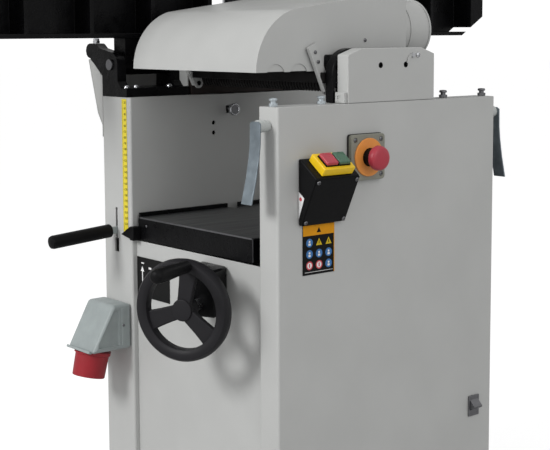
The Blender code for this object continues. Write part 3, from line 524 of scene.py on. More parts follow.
def column_shell(node):
    """A sheet column: bent corners up its sides, closed on top and open below."""
    low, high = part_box(node)
    bm = cuboid(low, high)
    upright = [e for e in bm.edges if abs(e.verts[0].co.z - e.verts[1].co.z) > 0.1]
    round_edges(bm, BEND, 5, upright)
    top = [e for e in bm.edges if all(v.co.z > high.z - 1e-5 for v in e.verts)]
    round_edges(bm, 0.0012, 2, top)
    shell = as_object(bm)
    room = Vector((WALL, WALL, 0))
    return cut(shell, box(low + room - Vector((0, 0, 0.01)), high - room - Vector((0, 0, WALL))))


def left_column():
    low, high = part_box("left_column")
    lever = middle_of("feed_lever")
    knob = middle_of("latch_knob")
    shell = column_shell("left_column")
    front = low.y - 0.01, low.y + 0.01
    cut(
        shell,
        box((lever.x - 0.003, front[0], 0.541), (lever.x + 0.003, front[1], 0.594)),
        box((lever.x - 0.0065, front[0], 0.516), (lever.x + 0.0065, front[1], 0.5405)),
        box((high.x - 0.01, knob.y - 0.007, knob.z - 0.007), (high.x + 0.01, knob.y + 0.007, knob.z + 0.007)),
        box((-0.2265, -0.084, high.z - 0.01), (-0.2095, 0.084, high.z + 0.01)),
    )
    for drop in (0.023, 0.041):
        place = Vector((high.x - 0.01, knob.y - 0.035, knob.z - drop))
        cut(shell, rod(place, place + Vector((0.02, 0, 0)), 0.004, sides=32))
    add(shell, "left_column_sheet", "paint", "cabinet", "left_column")


def right_column():
    low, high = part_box("right_column")
    lock = middle_of("front_lock_lever")
    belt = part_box("drive_belt")
    motor = middle_of("motor_pulley")
    shell = column_shell("right_column")
    cut(shell, box((belt[0].x - 0.003, -0.032, high.z - 0.01), (belt[1].x + 0.003, 0.052, high.z + 0.01)))
    cut(shell, rod_x(low.x - 0.01, low.x + 0.01, (motor.y, motor.z), 0.020))
    for y in (low.y, high.y):
        cut(shell, rod((lock.x, y - 0.01, LOCK_Z), (lock.x, y + 0.01, LOCK_Z), 0.0063))
    add(shell, "right_column_sheet", "paint", "cabinet", "right_column")
    vent_bracket(high.x)


def vent_bracket(face):
    """A small pressed bracket low on the motor side."""
    base = box((face + TINY, 0.183, 0.236), (face + 0.003, 0.209, 0.272), 0.001)
    slope = [(0, 0), (0.011, 0.006), (0.011, 0.009), (0, 0.020)]
    hood = plate(slope, 0.020, in_plane((1, 0, 0), (0, 0, 1), (face + 0.002, 0.196, 0.246)), 0.0008)
    add(gather([base, hood]), "motor_side_bracket", "dark_steel", "cabinet")


def cabinet_sheets():
    left_column()
    right_column()
    keep("base_plinth", "paint", 0.002)
    for node in ("left_shield", "front_panel", "rear_panel"):
        keep(node, "paint", 0.0006)
    shield_flanges()


def shield_flanges():
    """The turned-in ends of the left shield, between it and the hinge brackets."""
    outline = [
        (-0.2405, 0.7360), (-0.2542, 0.7575), (-0.2820, 0.8500), (-0.2785, 0.8500),
        (-0.2660, 0.8425), (-0.2405, 0.8215),
    ]
    ends = [plate(outline, 0.0015, facing_y(side * 0.2400), 0.0003) for side in (-1, 1)]
    add(gather(ends), "left_shield_ends", "paint", "cabinet")


# Cutting head


def arch(front, rear, base, top, radius):
    """An outline with a flat foot and rounded top corners."""
    rear_corner = arc((rear - radius, top - radius), radius, 0, 90)
    front_corner = arc((front + radius, top - radius), radius, 90, 180)
    return [(front, base), (rear, base)] + rear_corner + front_corner


def head_bores(casting, start, end):
    """The bores that the bearing, roller shafts, hood pivot and finger rod run in."""
    bores = [
        (middle_of("cutter_pulley").yz, 0.026),
        (middle_of("infeed_roller").yz, 0.0083),
        (middle_of("outfeed_roller").yz, 0.0083),
        (HOOD_PIVOT, 0.0053),
        (FINGER_ROD, 0.0043),
    ]
    for place, radius in bores:
        cut(casting, rod_x(start, end, place, radius, sides=40))


def head_castings():
    low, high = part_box("left_head_casting")
    body = across_x(arch(low.y, high.y, low.z, high.z, 0.022), low.x, high.x, 0.002)
    head_bores(body, high.x + 0.01, high.x - 0.019)
    for node in ("infeed_roller", "outfeed_roller"):
        place = middle_of(node).yz
        cut(body, rod_x(high.x + 0.01, high.x - 0.05, place, 0.0083, sides=40))
    cut(body, box((-0.229, -0.085, low.z - 0.01), (-0.204, 0.085, 0.862)))
    add(body, "left_head_wall", "dark_iron", "cabinet", "left_head_casting")

    low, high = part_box("right_head_casting")
    body = across_x(arch(low.y, high.y, low.z, high.z, 0.040), low.x, high.x, 0.002)
    head_bores(body, low.x - 0.01, high.x + 0.01)
    add(body, "right_head_wall", "enamel", "cabinet", "right_head_casting")
    for node in ("cutter_bearing_left", "cutter_bearing_right"):
        keep(node, "steel", 0.0008)


def head_cover():
    """The folded sheet cover over the cutter pulley."""
    low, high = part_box("head_cover")
    wall, drop, slant = 0.002, 0.010, 0.030
    outline = [
        (low.y, low.z), (high.y, low.z), (high.y, high.z - drop), (high.y - slant, high.z),
        (low.y + slant, high.z), (low.y, high.z - drop),
    ]
    inner = [
        (low.y + wall, low.z - 0.01), (high.y - wall, low.z - 0.01),
        (high.y - wall, high.z - drop - 0.0015), (high.y - slant - TINY, high.z - wall),
        (low.y + slant + TINY, high.z - wall), (low.y + wall, high.z - drop - 0.0015),
    ]
    middle = (low.x + high.x) / 2
    width = high.x - low.x
    cover = across_x(outline, low.x, high.x, 0.0014, 3)
    cut(cover, plate(inner, width - 2 * wall, facing_x(middle)))
    cut(cover, rod_x(low.x - 0.01, low.x + 0.01, (0, 0.844), 0.015))
    for y in (-0.028, 0.028):
        cut(cover, rod_x(high.x - 0.01, high.x + 0.01, (y, 0.845), 0.0048, sides=32))
    add(cover, "head_cover_sheet", "paint", "cabinet", "head_cover")
    head_cover_fittings(low, high)


def head_cover_fittings(low, high):
    """The grommets in its two holes, its screw and nut, the strap between them, and its foot."""
    places = [(high.x - 0.0032, y, 0.845) for y in (-0.028, 0.028)]
    grommets = [ring(place, 0.0036, 0.0046, 0.003, (1, 0, 0), 32) for place in places]
    add(gather(grommets), "head_cover_grommets", "black", "cabinet")
    clip = Vector((high.x, 0.049, 0.860))
    head = screw_head(clip + Vector((TINY, 0.006, 0)), 0.0042, 0.0028, (1, 0, 0))
    nut = hex_nut(clip + Vector((TINY, -0.006, 0)), 0.0070, 0.0030, (1, 0, 0))
    add(gather([head, nut]), "head_cover_fasteners", "steel", "cabinet")
    strap = [(-0.010, 0.003), (-0.018, -0.004), (-0.0195, -0.0125)]
    strap += [(-0.0145, -0.0125), (-0.0135, -0.006), (-0.007, -0.001)]
    place = facing_x(high.x + 0.001) @ Matrix.Translation((clip.y, clip.z, 0))
    add(plate(strap, 0.0012, place, 0.0003), "head_cover_strap", "paint", "cabinet")
    foot_low = (low.x + 0.002, low.y - 0.0065, low.z + TINY)
    foot = box(foot_low, (high.x - 0.002, low.y - 0.0005, low.z + 0.017), 0.0006)
    slot = box((low.x + 0.007, low.y - 0.02, low.z + 0.006), (low.x + 0.015, low.y - 0.0045, low.z + 0.012))
    add(cut(foot, slot), "head_cover_foot", "paint", "cabinet")


def cutter_and_rollers():
    keep("cutterblock", "dark_steel", 0.0004)
    keep("cutter_pulley", "dark_steel", 0.0006)
    keep("outfeed_roller", "steel", 0.0008)
    fluted_roller()
    anti_kickback_fingers()
    head_crossbar()


def toothed(centre, count, steps):
    """The outline of a toothed wheel. A step is (its share of the pitch, its radius)."""
    points = []
    for k in range(count):
        for share, reach in steps:
            angle = 2 * math.pi * (k + share) / count
            points.append((centre[0] + reach * math.cos(angle), centre[1] + reach * math.sin(angle)))
    return points


def fluted_roller():
    """The infeed roller, with pointed flutes along it that grip the wood, and its sprocket."""
    low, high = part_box("infeed_roller")
    centre = (low.y + high.y) / 2, (low.z + high.z) / 2
    flutes = toothed(centre, 44, ((0, 0.0182), (0.35, 0.020), (0.65, 0.020)))
    sprocket = toothed(centre, 14, ((0, 0.0140), (0.3, 0.0168), (0.6, 0.0168), (0.9, 0.0140)))
    body = across_x(flutes, CUT_LEFT, CUT_RIGHT)
    join(body, rod_x(low.x, high.x, centre, 0.008))
    join(body, plate(sprocket, 0.006, facing_x(-0.218)))
    add(body, "fluted_infeed_roller", "dark_steel", "infeed_roller", "infeed_roller")


def anti_kickback_fingers():
    """Hooked plates on a rod, close together, which bite if the wood is thrown back."""
    low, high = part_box("anti_kickback_fingers")
    y, z = FINGER_ROD
    count = 44
    hook = [(-0.0030, 0.0046), (0.0050, 0.0046), (0.0052, -0.010)]
    hook += [(0.0046, -0.034), (0.0020, -0.0385), (-0.0030, -0.030)]
    pitch = (CUT_RIGHT - CUT_LEFT) / count
    plates = [rod_x(low.x, high.x, (y, z), 0.004, sides=32)]
    for k in range(count):
        x = CUT_LEFT + pitch * (k + 0.5)
        plates.append(plate([(y + a, z + b) for a, b in hook], 0.0052, facing_x(x), 0.0005))
    # The fingers' near-black colour is painted shade for the shadow under the dust hood.
    add(gather(plates), "kickback_finger_row", "soot", "anti_kickback_fingers", "anti_kickback_fingers")


def head_crossbar():
    """The dark crossbar in front of the fingers, and the hood's pale stop plate and hook at its left end."""
    bar = box((CUT_LEFT - 0.019, -0.112, 0.818), (CUT_RIGHT + 0.019, -0.103, 0.8345), 0.0015)
    # The crossbar's near-black colour is painted shade for the shadow under the dust hood.
    add(bar, "head_front_crossbar", "soot", "cabinet")
    stop = box((-0.194, -0.1105, 0.7876), (-0.166, -0.1075, 0.834), 0.0006)
    add(stop, "hood_stop_plate", "paint", "cabinet")
    hook = arc((-0.152, 0.830), 0.0065, 200, 350, 10) + arc((-0.152, 0.830), 0.0095, 350, 200, 10)
    add(plate(hook, 0.004, facing_y(-0.117), 0.0006), "hood_stop_hook", "paint", "dust_hood")


# Drive, inside the cabinet


def drive():
    for node in ("motor_body", "feed_gearbox"):
        keep(node, "enamel", 0.002)
    for node in ("motor_pulley", "feed_drive_sprocket", "feed_chain"):
        keep(node, "dark_steel")
    keep("drive_belt", "rubber")
    keep("lift_guide_tube", "enamel", 0.001)
    for node in ("table_lift_column", "lift_nut", "lead_screw"):
        keep(node, "steel")


# Thickness table


def thickness_table():
    """The black casting, its machined top, and the rims on either side."""
    low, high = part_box("thickness_table")
    knob = middle_of("latch_knob")
    top, skin, rib = 0.582, 0.0015, 0.008
    counts = (3, 4)  # of the pockets underneath

    def notched(piece):
        notch = (low.x - 0.01, knob.y - 0.013, low.z - 0.01), (low.x + 0.022, knob.y + 0.013, high.z + 0.01)
        return cut(piece, box(*notch))

    body = box(low, (high.x, high.y, top - skin - TINY), 0.0016, 2)
    inner_low, inner_high = (low.x + rib, low.y + rib), (high.x - rib, high.y - rib)
    size = [(inner_high[k] - inner_low[k] - rib * (counts[k] - 1)) / counts[k] for k in (0, 1)]
    for i in range(counts[0]):
        for j in range(counts[1]):
            x = inner_low[0] + i * (size[0] + rib)
            y = inner_low[1] + j * (size[1] + rib)
            cut(body, box((x, y, low.z - 0.02), (x + size[0], y + size[1], top - 0.012), 0.004, 2))
    add(notched(body), "table_casting", "enamel", "thickness_table", "thickness_table")

    face_low = (low.x + 0.0060, low.y + 0.0006, top - skin)
    face = box(face_low, (high.x - 0.0006, high.y - 0.0006, top), 0.0005, 2)
    add(notched(face), "table_planed_face", "planed_iron", "thickness_table")
    lip_low = (low.x + TINY, low.y + 0.0015, top - skin)
    lip = box(lip_low, (low.x + 0.0056, high.y - 0.0015, high.z), 0.0008, 2)
    add(notched(lip), "table_left_lip", "enamel", "thickness_table")
    table_trim(low, high, top)


def table_trim(low, high, top):
    """Painted highlights as steel strips along the front top edge and up the front right corner, the flange
    beside the right column, and a grease plug.
    """
    front = rectangle(low.x + 0.007, top - 0.0025, high.x - 0.001, top)
    side = rectangle(low.y, low.z + 0.002, low.y + 0.0018, top - 0.001)
    # Lighter steel strips along the top front edge and up the front right corner: painted highlights on the
    # edges.
    edges = [
        plate(front, 0.0008, facing_y(low.y - 0.0002)),
        plate(side, 0.0008, facing_x(high.x + 0.0002)),
    ]
    add(gather(edges), "table_painted_edge_highlights", "dark_steel", "thickness_table")
    flange_low = (high.x + 0.0008, low.y + 0.014, low.z + 0.002)
    flange = box(flange_low, (0.190, high.y - 0.014, top - 0.004), 0.0015, 2)
    add(flange, "table_right_flange", "enamel", "thickness_table")
    x, z = low.x + 0.026, top - 0.014
    plug = rod((x, low.y + 0.001, z), (x, low.y - 0.0012, z), 0.0022)
    add(plug, "table_grease_plug", "dark_steel", "thickness_table")


def scale_pointer():
    low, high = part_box("scale_pointer")
    arm = box((-0.1515, low.y, low.z), (high.x, high.y, high.z), 0.0015, 3)
    outline = [(low.x, low.z + 0.0075), (-0.1500, low.z + 0.0025), (-0.1500, high.z)]
    tip = plate(outline, 0.003, facing_y(low.y + 0.0015), 0.0006)
    add(join(arm, tip), "scale_pointer_arm", "black", "thickness_table", "scale_pointer")


# Handwheel

WHEEL_TURN = math.radians(25)
WHEEL_CENTRE = Vector((0.114, -0.326, 0.475))
GRIP_SPOKE = 80  # degrees round the wheel to the spoke that carries the crank grip


def wheel_frame():
    """Local z is the handwheel's axis, outwards, and local y is up."""
    return in_plane((math.cos(WHEEL_TURN), math.sin(WHEEL_TURN), 0), (0, 0, 1), WHEEL_CENTRE)


def handwheel():
    rim = [
        (-0.0120, 0.0670), (-0.0122, 0.0745), (-0.0090, 0.0785), (0.0000, 0.0800), (0.0070, 0.0792),
        (0.0115, 0.0760), (0.0125, 0.0710), (0.0118, 0.0650), (0.0090, 0.0612), (0.0030, 0.0600),
        (-0.0070, 0.0608), (-0.0120, 0.0670),
    ]
    body = turned(rim, (0, 0, 0), (0, 0, 1), 96)
    for degrees in (GRIP_SPOKE, GRIP_SPOKE + 120, GRIP_SPOKE + 240):
        half = [(0.008, 0.0115), (0.022, 0.0120), (0.040, 0.0132), (0.056, 0.0150), (0.066, 0.0190)]
        outline = half + [(x, -y) for x, y in half[::-1]]
        turn = Matrix.Rotation(math.radians(degrees), 4, "Z")
        join(body, plate(outline, 0.010, turn @ Matrix.Translation((0, 0, -0.001)), 0.0022, 3))
    hub = [(-0.020, 0), (-0.020, 0.0150), (-0.018, 0.0170), (0.0035, 0.0175), (0.0040, 0.0172), (0.0040, 0)]
    join(body, turned(hub, (0, 0, 0), (0, 0, 1)))
    cut(body, rod((0, 0, -0.030), (0, 0, 0.0030), 0.0093))
    body.data.transform(wheel_frame())
    add(body, "handwheel_rim_and_spokes", "wheel_black", "handwheel", "handwheel")
    dome = [(0.0043, 0), (0.0043, 0.0166), (0.0060, 0.0166), (0.0068, 0.0155), (0.0072, 0.0)]
    cap = turned(dome, (0, 0, 0), (0, 0, 1))
    cap.data.transform(wheel_frame())
    add(cap, "handwheel_hub_cap", "wheel_black", "handwheel")
    keep("handwheel_shaft", "steel", 0.0005)
    keep("handwheel_bracket", "enamel", 0.002)


def crank_grip():
    angle = math.radians(GRIP_SPOKE)
    radius = 0.071
    profile = [
        (0.0120, 0), (0.0120, 0.0085), (0.0135, 0.0098), (0.0300, 0.0098), (0.0700, 0.0112),
        (0.0950, 0.0118), (0.1010, 0.0112), (0.1050, 0.0090), (0.1068, 0.0055), (0.1072, 0.0),
    ]
    place = (radius * math.cos(angle), radius * math.sin(angle), 0)
    grip = turned(profile, place, (0, 0, 1), 48)
    grip.data.transform(wheel_frame())
    add(grip, "crank_grip_handle", "black", "crank_grip", "crank_grip")
    stud = turned([(0.0095, 0), (0.0095, 0.0075), (0.0117, 0.0075), (0.0117, 0)], place, (0, 0, 1), 6)
    stud.data.transform(wheel_frame())
    add(stud, "crank_grip_stud", "steel", "handwheel")


# Surface tables and hinges


def surface_tables():
    """The ribbed castings, each with its planed face on the far side and a steel lip at the cutterblock."""
    for name, side in (("front", -1), ("rear", 1)):
        node = name + "_surface_table"
        keep(node, "enamel", 0.0015)
        low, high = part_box(node)
        base, edge, chamfer = 0.889, 0.001, 0.065
        outline = [
            (side * (0.036 + edge), base), (side * (0.700 - edge - chamfer), base),
            (side * (0.700 - edge), base + 0.040), (side * (0.700 - edge), high.z - edge),
            (side * (0.036 + edge), high.z - edge),
        ]
        skin = plate(outline, 0.0012, facing_x(low.x - 0.0010), 0.0004)
        add(skin, name + "_table_planed_face", "planed_iron", node)
        near = side * 0.036
        lip = box((-0.2495, near - 0.0035, base + 0.002), (-0.2440, near + 0.0035, high.z - 0.003), 0.0008)
        add(lip, name + "_table_lip_plate", "steel", node)


def hinges():
    for name, side in (("front", -1), ("rear", 1)):
        keep(name + "_hinge_bracket", "enamel", 0.0015)
        keep(name + "_hinge_pin", "dark_steel", 0.0012)
        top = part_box(name + "_hinge_bracket")[0].z + 0.015 + TINY
        places = [(-0.182, side * y, top) for y in (0.229, 0.209, 0.139)]
        heads = [screw_head(place, 0.0055, 0.0045, (0, 0, 1), "socket") for place in places]
        add(gather(heads), name + "_bracket_screws", "steel", "cabinet")
        lugs = []
        for y in (0.233, 0.119):
            foot = Vector((-0.270, side * y, 0.8788))
            lugs.append(hex_nut(foot, 0.012, 0.0045, (0, 0, 1)))
            dome = [(0.0046, 0), (0.0046, 0.0055), (0.0075, 0.0055), (0.0090, 0.0035), (0.0095, 0)]
            lugs.append(turned(dome, foot, (0, 0, 1), 40))
        add(gather(lugs), name + "_bracket_stop_screws", "steel", "cabinet")


def stop_studs():
    """Screws with a lock nut and a rounded head; the rear two are blackened."""
    for k in range(4):
        node = f"table_stop_stud_{k + 1}"
        low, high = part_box(node)
        foot = Vector(((low.x + high.x) / 2, (low.y + high.y) / 2, low.z))
        nut = hex_nut(foot, 0.0125, 0.0050, (0, 0, 1))
        join(nut, rod(foot + Vector((0, 0, 0.001)), foot + Vector((0, 0, 0.0095)), 0.0042))
        cap = [(0, 0), (0, 0.0058), (0.0008, 0.0064), (0.0028, 0.0064), (0.0040, 0.0052), (0.0045, 0)]
        join(nut, turned(cap, foot + Vector((0, 0, 0.0085)), (0, 0, 1)))
        add(nut, f"table_stop_screw_{k + 1}", "bright_zinc" if k < 2 else "dark_steel", "cabinet", node)


# Dust hood


def hood_outline(low, high, edge, inset):
    """A curved front, a top that rises to the rear, and an upright rear."""
    front = arc((low.y + 0.100, edge), 0.100 - inset, 180, 105, 28)
    rear_corner = arc((high.y - 0.020, 0.948), 0.020 - inset, 60, 0, 8)
    return front + rear_corner + [(high.y - inset, edge)]


def dust_hood():
    low, high = Vector((-0.148, -0.237, 0)), Vector((0.184, 0.083, 0))
    edge, sheet = 0.836, 0.0015
    middle, width = (low.x + high.x) / 2, high.x - low.x
    spout = Vector((high.x - 0.056, high.y - 0.010, 0.900))
    body = plate(hood_outline(low, high, edge, 0), width, facing_x(middle), 0.0008)
    join(body, rod(spout, (spout.x, 0.150, spout.z), 0.050, sides=72))
    cut(body, plate(hood_outline(low, high, edge, sheet), width - 2 * sheet, facing_x(middle)))
    cut(body, box((low.x - 0.01, low.y - 0.01, edge - 0.1), (high.x + 0.01, high.y + 0.01, edge + 0.0005)))
    cut(body, rod(spout - Vector((0, 0.010, 0)), (spout.x, 0.160, spout.z), 0.050 - sheet, sides=72))
    for x in (low.x, high.x):
        cut(body, box((x - 0.01, -0.100, edge - 0.01), (x + 0.01, high.y - 0.010, 0.862), 0.004))
    for y in (-0.198, -0.152):
        cut(body, rod_x(high.x - 0.01, high.x + 0.01, (y, edge - 0.005), 0.018))
    cut(body, rod_x(low.x - 0.01, low.x + 0.01, (-0.171, 0.840), 0.021))
    add(body, "dust_hood_shell", "paint", "dust_hood", "dust_hood")

    beads = [ring((spout.x, y, spout.z), 0.0500, 0.0517, 0.003, (0, 1, 0)) for y in (0.1445, 0.100)]
    add(gather(beads), "spout_beads", "paint", "dust_hood")
    # A strip inside the end plate shows through its two scallops.
    strip_low = (high.x - 0.0045, low.y + 0.012, edge + 0.0012)
    strip = box(strip_low, (high.x - 0.0018, -0.112, edge + 0.026), 0.0006)
    add(strip, "dust_hood_inner_strip", "paint", "dust_hood")
    hood_arms(low.x, high.x)


def hood_arms(left, right):
    """The arm at each end plate with its pins, and the screws on the right end plate."""
    ends = (
        (left - 0.0008, left - 0.0038, -0.171),
        (right + 0.0008, right + 0.0050, 0.205),
    )
    arms = []
    for inner, outer, pin in ends:
        start = (inner + left) / 2 if inner < 0 else right
        arms.append(hood_arm(inner, outer))
        arms.append(rod_x(inner, pin, HOOD_PIVOT, 0.005))
        arms.append(rod_x(start, inner, HOOD_ARM_TOP, 0.006))
    add(gather(arms), "dust_hood_arms", "paint", "dust_hood")
    places = [
        (right + 0.0053, -0.1225, 0.866),
        (right + 0.0053, -0.1165, 0.851),
        (right + TINY, -0.011, 0.884),
    ]
    screws = [screw_head(place, 0.0030, 0.0016, (1, 0, 0)) for place in places]
    add(gather(screws), "dust_hood_screws", "dark_steel", "dust_hood")


def hood_arm(inner, outer):
    """A strip from the pivot up to the hood's end plate, square at the top, with a bent edge."""
    top, pivot = Vector(HOOD_ARM_TOP), Vector(HOOD_PIVOT)
    rise = (top - pivot).normalized()
    across = Vector((rise.y, -rise.x)) * 0.0105
    slope = math.degrees(math.atan2(rise.y, rise.x))
    end = top + rise * 0.010
    outline = arc(pivot, 0.0090, slope + 90, slope + 270, 12)
    outline += [end + across * 0.9, end - across * 0.9]
    strip = plate(outline, abs(outer - inner), facing_x((inner + outer) / 2), 0.0005)
    side = 1 if outer > inner else -1
    rim = [end - across * 0.9, end - across * 1.15, pivot - across, pivot - across * 0.8]
    flange = plate(rim, 0.0070, facing_x(outer + side * 0.0020), 0.0005)
    return gather([strip, flange])


# Levers and knobs


def feed_lever():
    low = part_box("feed_lever")[0]
    x, z, pivot_y = -0.200, 0.554, -0.175
    bar = box((x - 0.0022, low.y, z - 0.0062), (x + 0.0022, pivot_y, z + 0.0062), 0.0008)
    join(bar, rod_x(-0.2045, -0.1955, (pivot_y, z), 0.012))
    cut(bar, rod_x(-0.22, -0.18, (pivot_y, z), 0.0053))
    add(bar, "feed_lever_bar", "inlet_grey", "feed_lever", "feed_lever")
    start, end = Vector((x, -0.2563, z)), Vector((x, -0.3758, z - 0.0089))
    length = (end - start).length
    profile = [
        (0, 0), (0, 0.0108), (0.001, 0.0116), (length - 0.0060, 0.0116), (length - 0.0022, 0.0102),
        (length - 0.0004, 0.0065), (length, 0),
    ]
    grip = turned(profile, start, end - start)
    add(grip, "feed_lever_grip_sleeve", "black", "feed_lever", "feed_lever_grip")


def lock_levers():
    """Bent strips with a round knob, which hang on the columns' end faces."""
    for name, side in (("front", -1), ("rear", 1)):
        face, x, z = side * 0.242, 0.218, LOCK_Z
        thick = 0.0028
        path = [(0.2662, 0.7665), (0.2668, 0.7330), (0.2690, 0.7130), (0.2745, 0.6820), (0.2838, 0.6440)]
        near = [(side * (y - thick / 2), height) for y, height in path]
        far = [(side * (y + thick / 2), height) for y, height in path]
        blade = plate(near + far[::-1], 0.024, facing_x(x), 0.0008)
        for corner_x in (x - 0.012, x + 0.012):
            cut(blade, rod((corner_x, side * 0.25, 0.770), (corner_x, side * 0.30, 0.770), 0.006))
        knob = [(0, 0), (0, 0.0082), (0.006, 0.0090), (0.016, 0.0098)]
        knob += [(0.0205, 0.0096), (0.0232, 0.0082), (0.0240, 0.0050), (0.0242, 0)]
        boss = turned(knob, (x, face + side * 0.0004, z), (0, side, 0))
        shaft = rod((x, face - side * 0.012, z), (x, face + side * 0.010, z), 0.006)
        add(join(boss, shaft), name + "_lock_knob", "pale_knob", name + "_lock_lever")
        add(blade, name + "_lock_blade", "zinc", name + "_lock_lever", name + "_lock_lever")


def latch_knob():
    """A turned disc with a dished face, on the end of its plunger."""
    low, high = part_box("latch_knob")
    y, z = (low.y + high.y) / 2, (low.z + high.z) / 2
    reach, radius, thick = high.x - low.x, 0.0112, 0.0065
    back = reach - thick
    profile = [
        (0, 0), (0, 0.004), (back, 0.004), (back, radius - 0.0010), (back + 0.0010, radius),
        (reach - 0.0010, radius), (reach, radius - 0.0010), (reach, radius - 0.0024),
        (reach - 0.0016, radius - 0.0034), (reach - 0.0016, 0),
    ]
    knob = turned(profile, (low.x, y, z), (1, 0, 0))
    add(knob, "latch_knob_turned", "steel", "latch_knob", "latch_knob")
    hollow = [(0, 0), (0, radius - 0.0038), (0.0006, radius - 0.0042), (0.0006, 0)]
    dish = turned(hollow, (high.x - 0.0015, y, z), (1, 0, 0))
    add(dish, "latch_knob_dish", "dark_steel", "latch_knob")


# Controls


def rounded_square(centre, half, radius):
    points = []
    for k, (sx, sy) in enumerate(((1, 1), (-1, 1), (-1, -1), (1, -1))):
        middle = (centre[0] + sx * (half - radius), centre[1] + sy * (half - radius))
        points += arc(middle, radius, 90 * k, 90 * k + 90, 6)
    return points


def emergency_stop():
    low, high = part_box("estop_plate")
    y, z = (low.y + high.y) / 2, (low.z + high.z) / 2
    gasket = plate(rounded_square((y, z), 0.0368, 0.005), 0.0020, facing_x(low.x + 0.0011))
    add(gasket, "estop_gasket", "rubber", "cabinet")
    lid = plate(rounded_square((y, z), 0.036, 0.006), 0.0075, facing_x(low.x + 0.0062), 0.0012, 3)
    cut(lid, rod_x(low.x - 0.01, high.x + 0.01, (y, z), 0.0145))
    spots = [(y + a * 0.0275, z + b * 0.0275) for a in (-1, 1) for b in (-1, 1)]
    for a, b in spots:
        cut(lid, rod_x(high.x - 0.0012, high.x + 0.01, (a, b), 0.0042, sides=32))
    add(lid, "estop_lid", "plate_grey", "cabinet", "estop_plate")
    heads = [screw_head((high.x - 0.0010, a, b), 0.0034, 0.0016, (1, 0, 0)) for a, b in spots]
    add(gather(heads), "estop_lid_screws", "dark_steel", "cabinet")
    low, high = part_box("estop_disc")
    rim = [(0, 0.0145), (0, 0.0300), (0.0018, 0.0300), (0.0026, 0.0292), (0.0026, 0.0145), (0, 0.0145)]
    add(turned(rim, (low.x, y, z), (1, 0, 0), 96), "estop_orange_disc", "orange", "cabinet", "estop_disc")
    low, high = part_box("estop_button")
    reach = high.x - low.x
    neck = [(0, 0), (0, 0.0132), (0.0205, 0.0132), (0.0205, 0.0142), (0.0220, 0.0142), (0.0220, 0)]
    add(turned(neck, (low.x, y, z), (1, 0, 0)), "estop_neck", "black", "estop_button")
    cap = [
        (0.0223, 0), (0.0223, 0.0168), (0.0235, 0.0188), (0.0255, 0.0195), (0.0300, 0.0192),
        (0.0333, 0.0178), (0.0353, 0.0150), (0.0360, 0.0100), (reach, 0.0040), (reach, 0),
    ]
    add(turned(cap, (low.x, y, z), (1, 0, 0), 96), "estop_mushroom", "red", "estop_button", "estop_button")


SWITCH_RIDGE = Vector((0.2820, 0.6810))
SWITCH_TOP = Vector((0.2450, 0.7080))


def switch_face(near, far, up_from):
    """The frame of a slanted face of the switch box: x along Y, y up its slope, z out of it."""
    low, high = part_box("switch_housing")
    slope = (far - near).normalized()
    start = near + slope * up_from
    return in_plane((0, 1, 0), (slope.x, 0, slope.y), (start.x, (low.y + high.y) / 2, start.y))


def switch_box():
    low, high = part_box("switch_housing")
    wall = low.x
    foot = Vector((0.2470, low.z))
    outline = [(wall, low.z), tuple(foot), tuple(SWITCH_RIDGE), tuple(SWITCH_TOP), (wall, high.z)]
    body = plate(outline, high.y - low.y, facing_y((low.y + high.y) / 2), 0.0024, 3)
    upper = switch_face(SWITCH_RIDGE, SWITCH_TOP, (SWITCH_TOP - SWITCH_RIDGE).length / 2)
    cut(body, box((-0.026, -0.014, -0.010), (0.026, 0.014, 0.010), matrix=upper))
    add(body, "switch_case", "black", "cabinet", "switch_housing")
    switch_lid(foot)
    switch_buttons(upper)
    tag = [(wall + 0.001, 0.640), (wall + 0.001, 0.659), (wall + 0.014, 0.650), (wall + 0.001, 0.6165)]
    add(plate(tag, 0.0004, facing_y(low.y - 0.0004)), "switch_side_tag", "ink_white", "cabinet")
    mark = disc((wall + 0.006, low.y - 0.0007, 0.6480), 0.0028, 0.0004, (0, -1, 0), 24)
    add(mark, "switch_side_tag_mark", "ink_red", "cabinet")


def switch_lid(foot):
    """The flat front of the switch box, with a screw at each corner."""
    length = (SWITCH_RIDGE - foot).length
    lower = switch_face(foot, SWITCH_RIDGE, length / 2)
    lid = box((-0.0432, -length / 2 + 0.0012, TINY), (0.0432, length / 2 - 0.0012, 0.0012), 0.0007, 2, lower)
    add(lid, "switch_lid", "black", "cabinet")
    heads = []
    for a in (-1, 1):
        for b in (-1, 1):
            place = lower @ Vector((a * 0.0385, b * (length / 2 - 0.0060), 0.0014))
            heads.append(screw_head(place, 0.0034, 0.0018, lower.to_3x3() @ Vector((0, 0, 1))))
    add(gather(heads), "switch_lid_screws", "dark_steel", "cabinet")


def switch_buttons(upper):
    """The yellow frame and the two keys in it."""
    frame_ring = box((-0.0310, -0.0185, TINY), (0.0310, 0.0185, 0.0135), 0.0012, 3, upper)
    cut(frame_ring, box((-0.0250, -0.0130, -0.01), (0.0250, 0.0130, 0.02), matrix=upper))
    add(frame_ring, "switch_yellow_frame", "yellow", "cabinet", "switch_frame")
    for name, left, look in (("stop_button", -0.0243, "stop_red"), ("start_button", 0.0007, "go_green")):
        key = box((left + 0.0006, -0.0122, -0.0050), (left + 0.0230, 0.0122, 0.0205), 0.0022, 3, upper)
        out = upper.to_3x3() @ Vector((0, 0, 1))
        place = upper @ Vector((left + 0.0118, 0, 0.0200))
        dish = turned([(0, 0), (0, 0.0085), (0.0010, 0.0090), (0.0010, 0)], place, out, 40)
        add(cut(key, dish), name + "_key", look, name, name)
        skirt = box((left + 0.0002, -0.0126, -0.0045), (left + 0.0234, 0.0126, 0.0165), 0.0010, 2, upper)
        cut(skirt, box((left + 0.0004, -0.0124, -0.01), (left + 0.0232, 0.0124, 0.03), 0, 1, upper))
        add(skirt, name + "_skirt", "black", name)


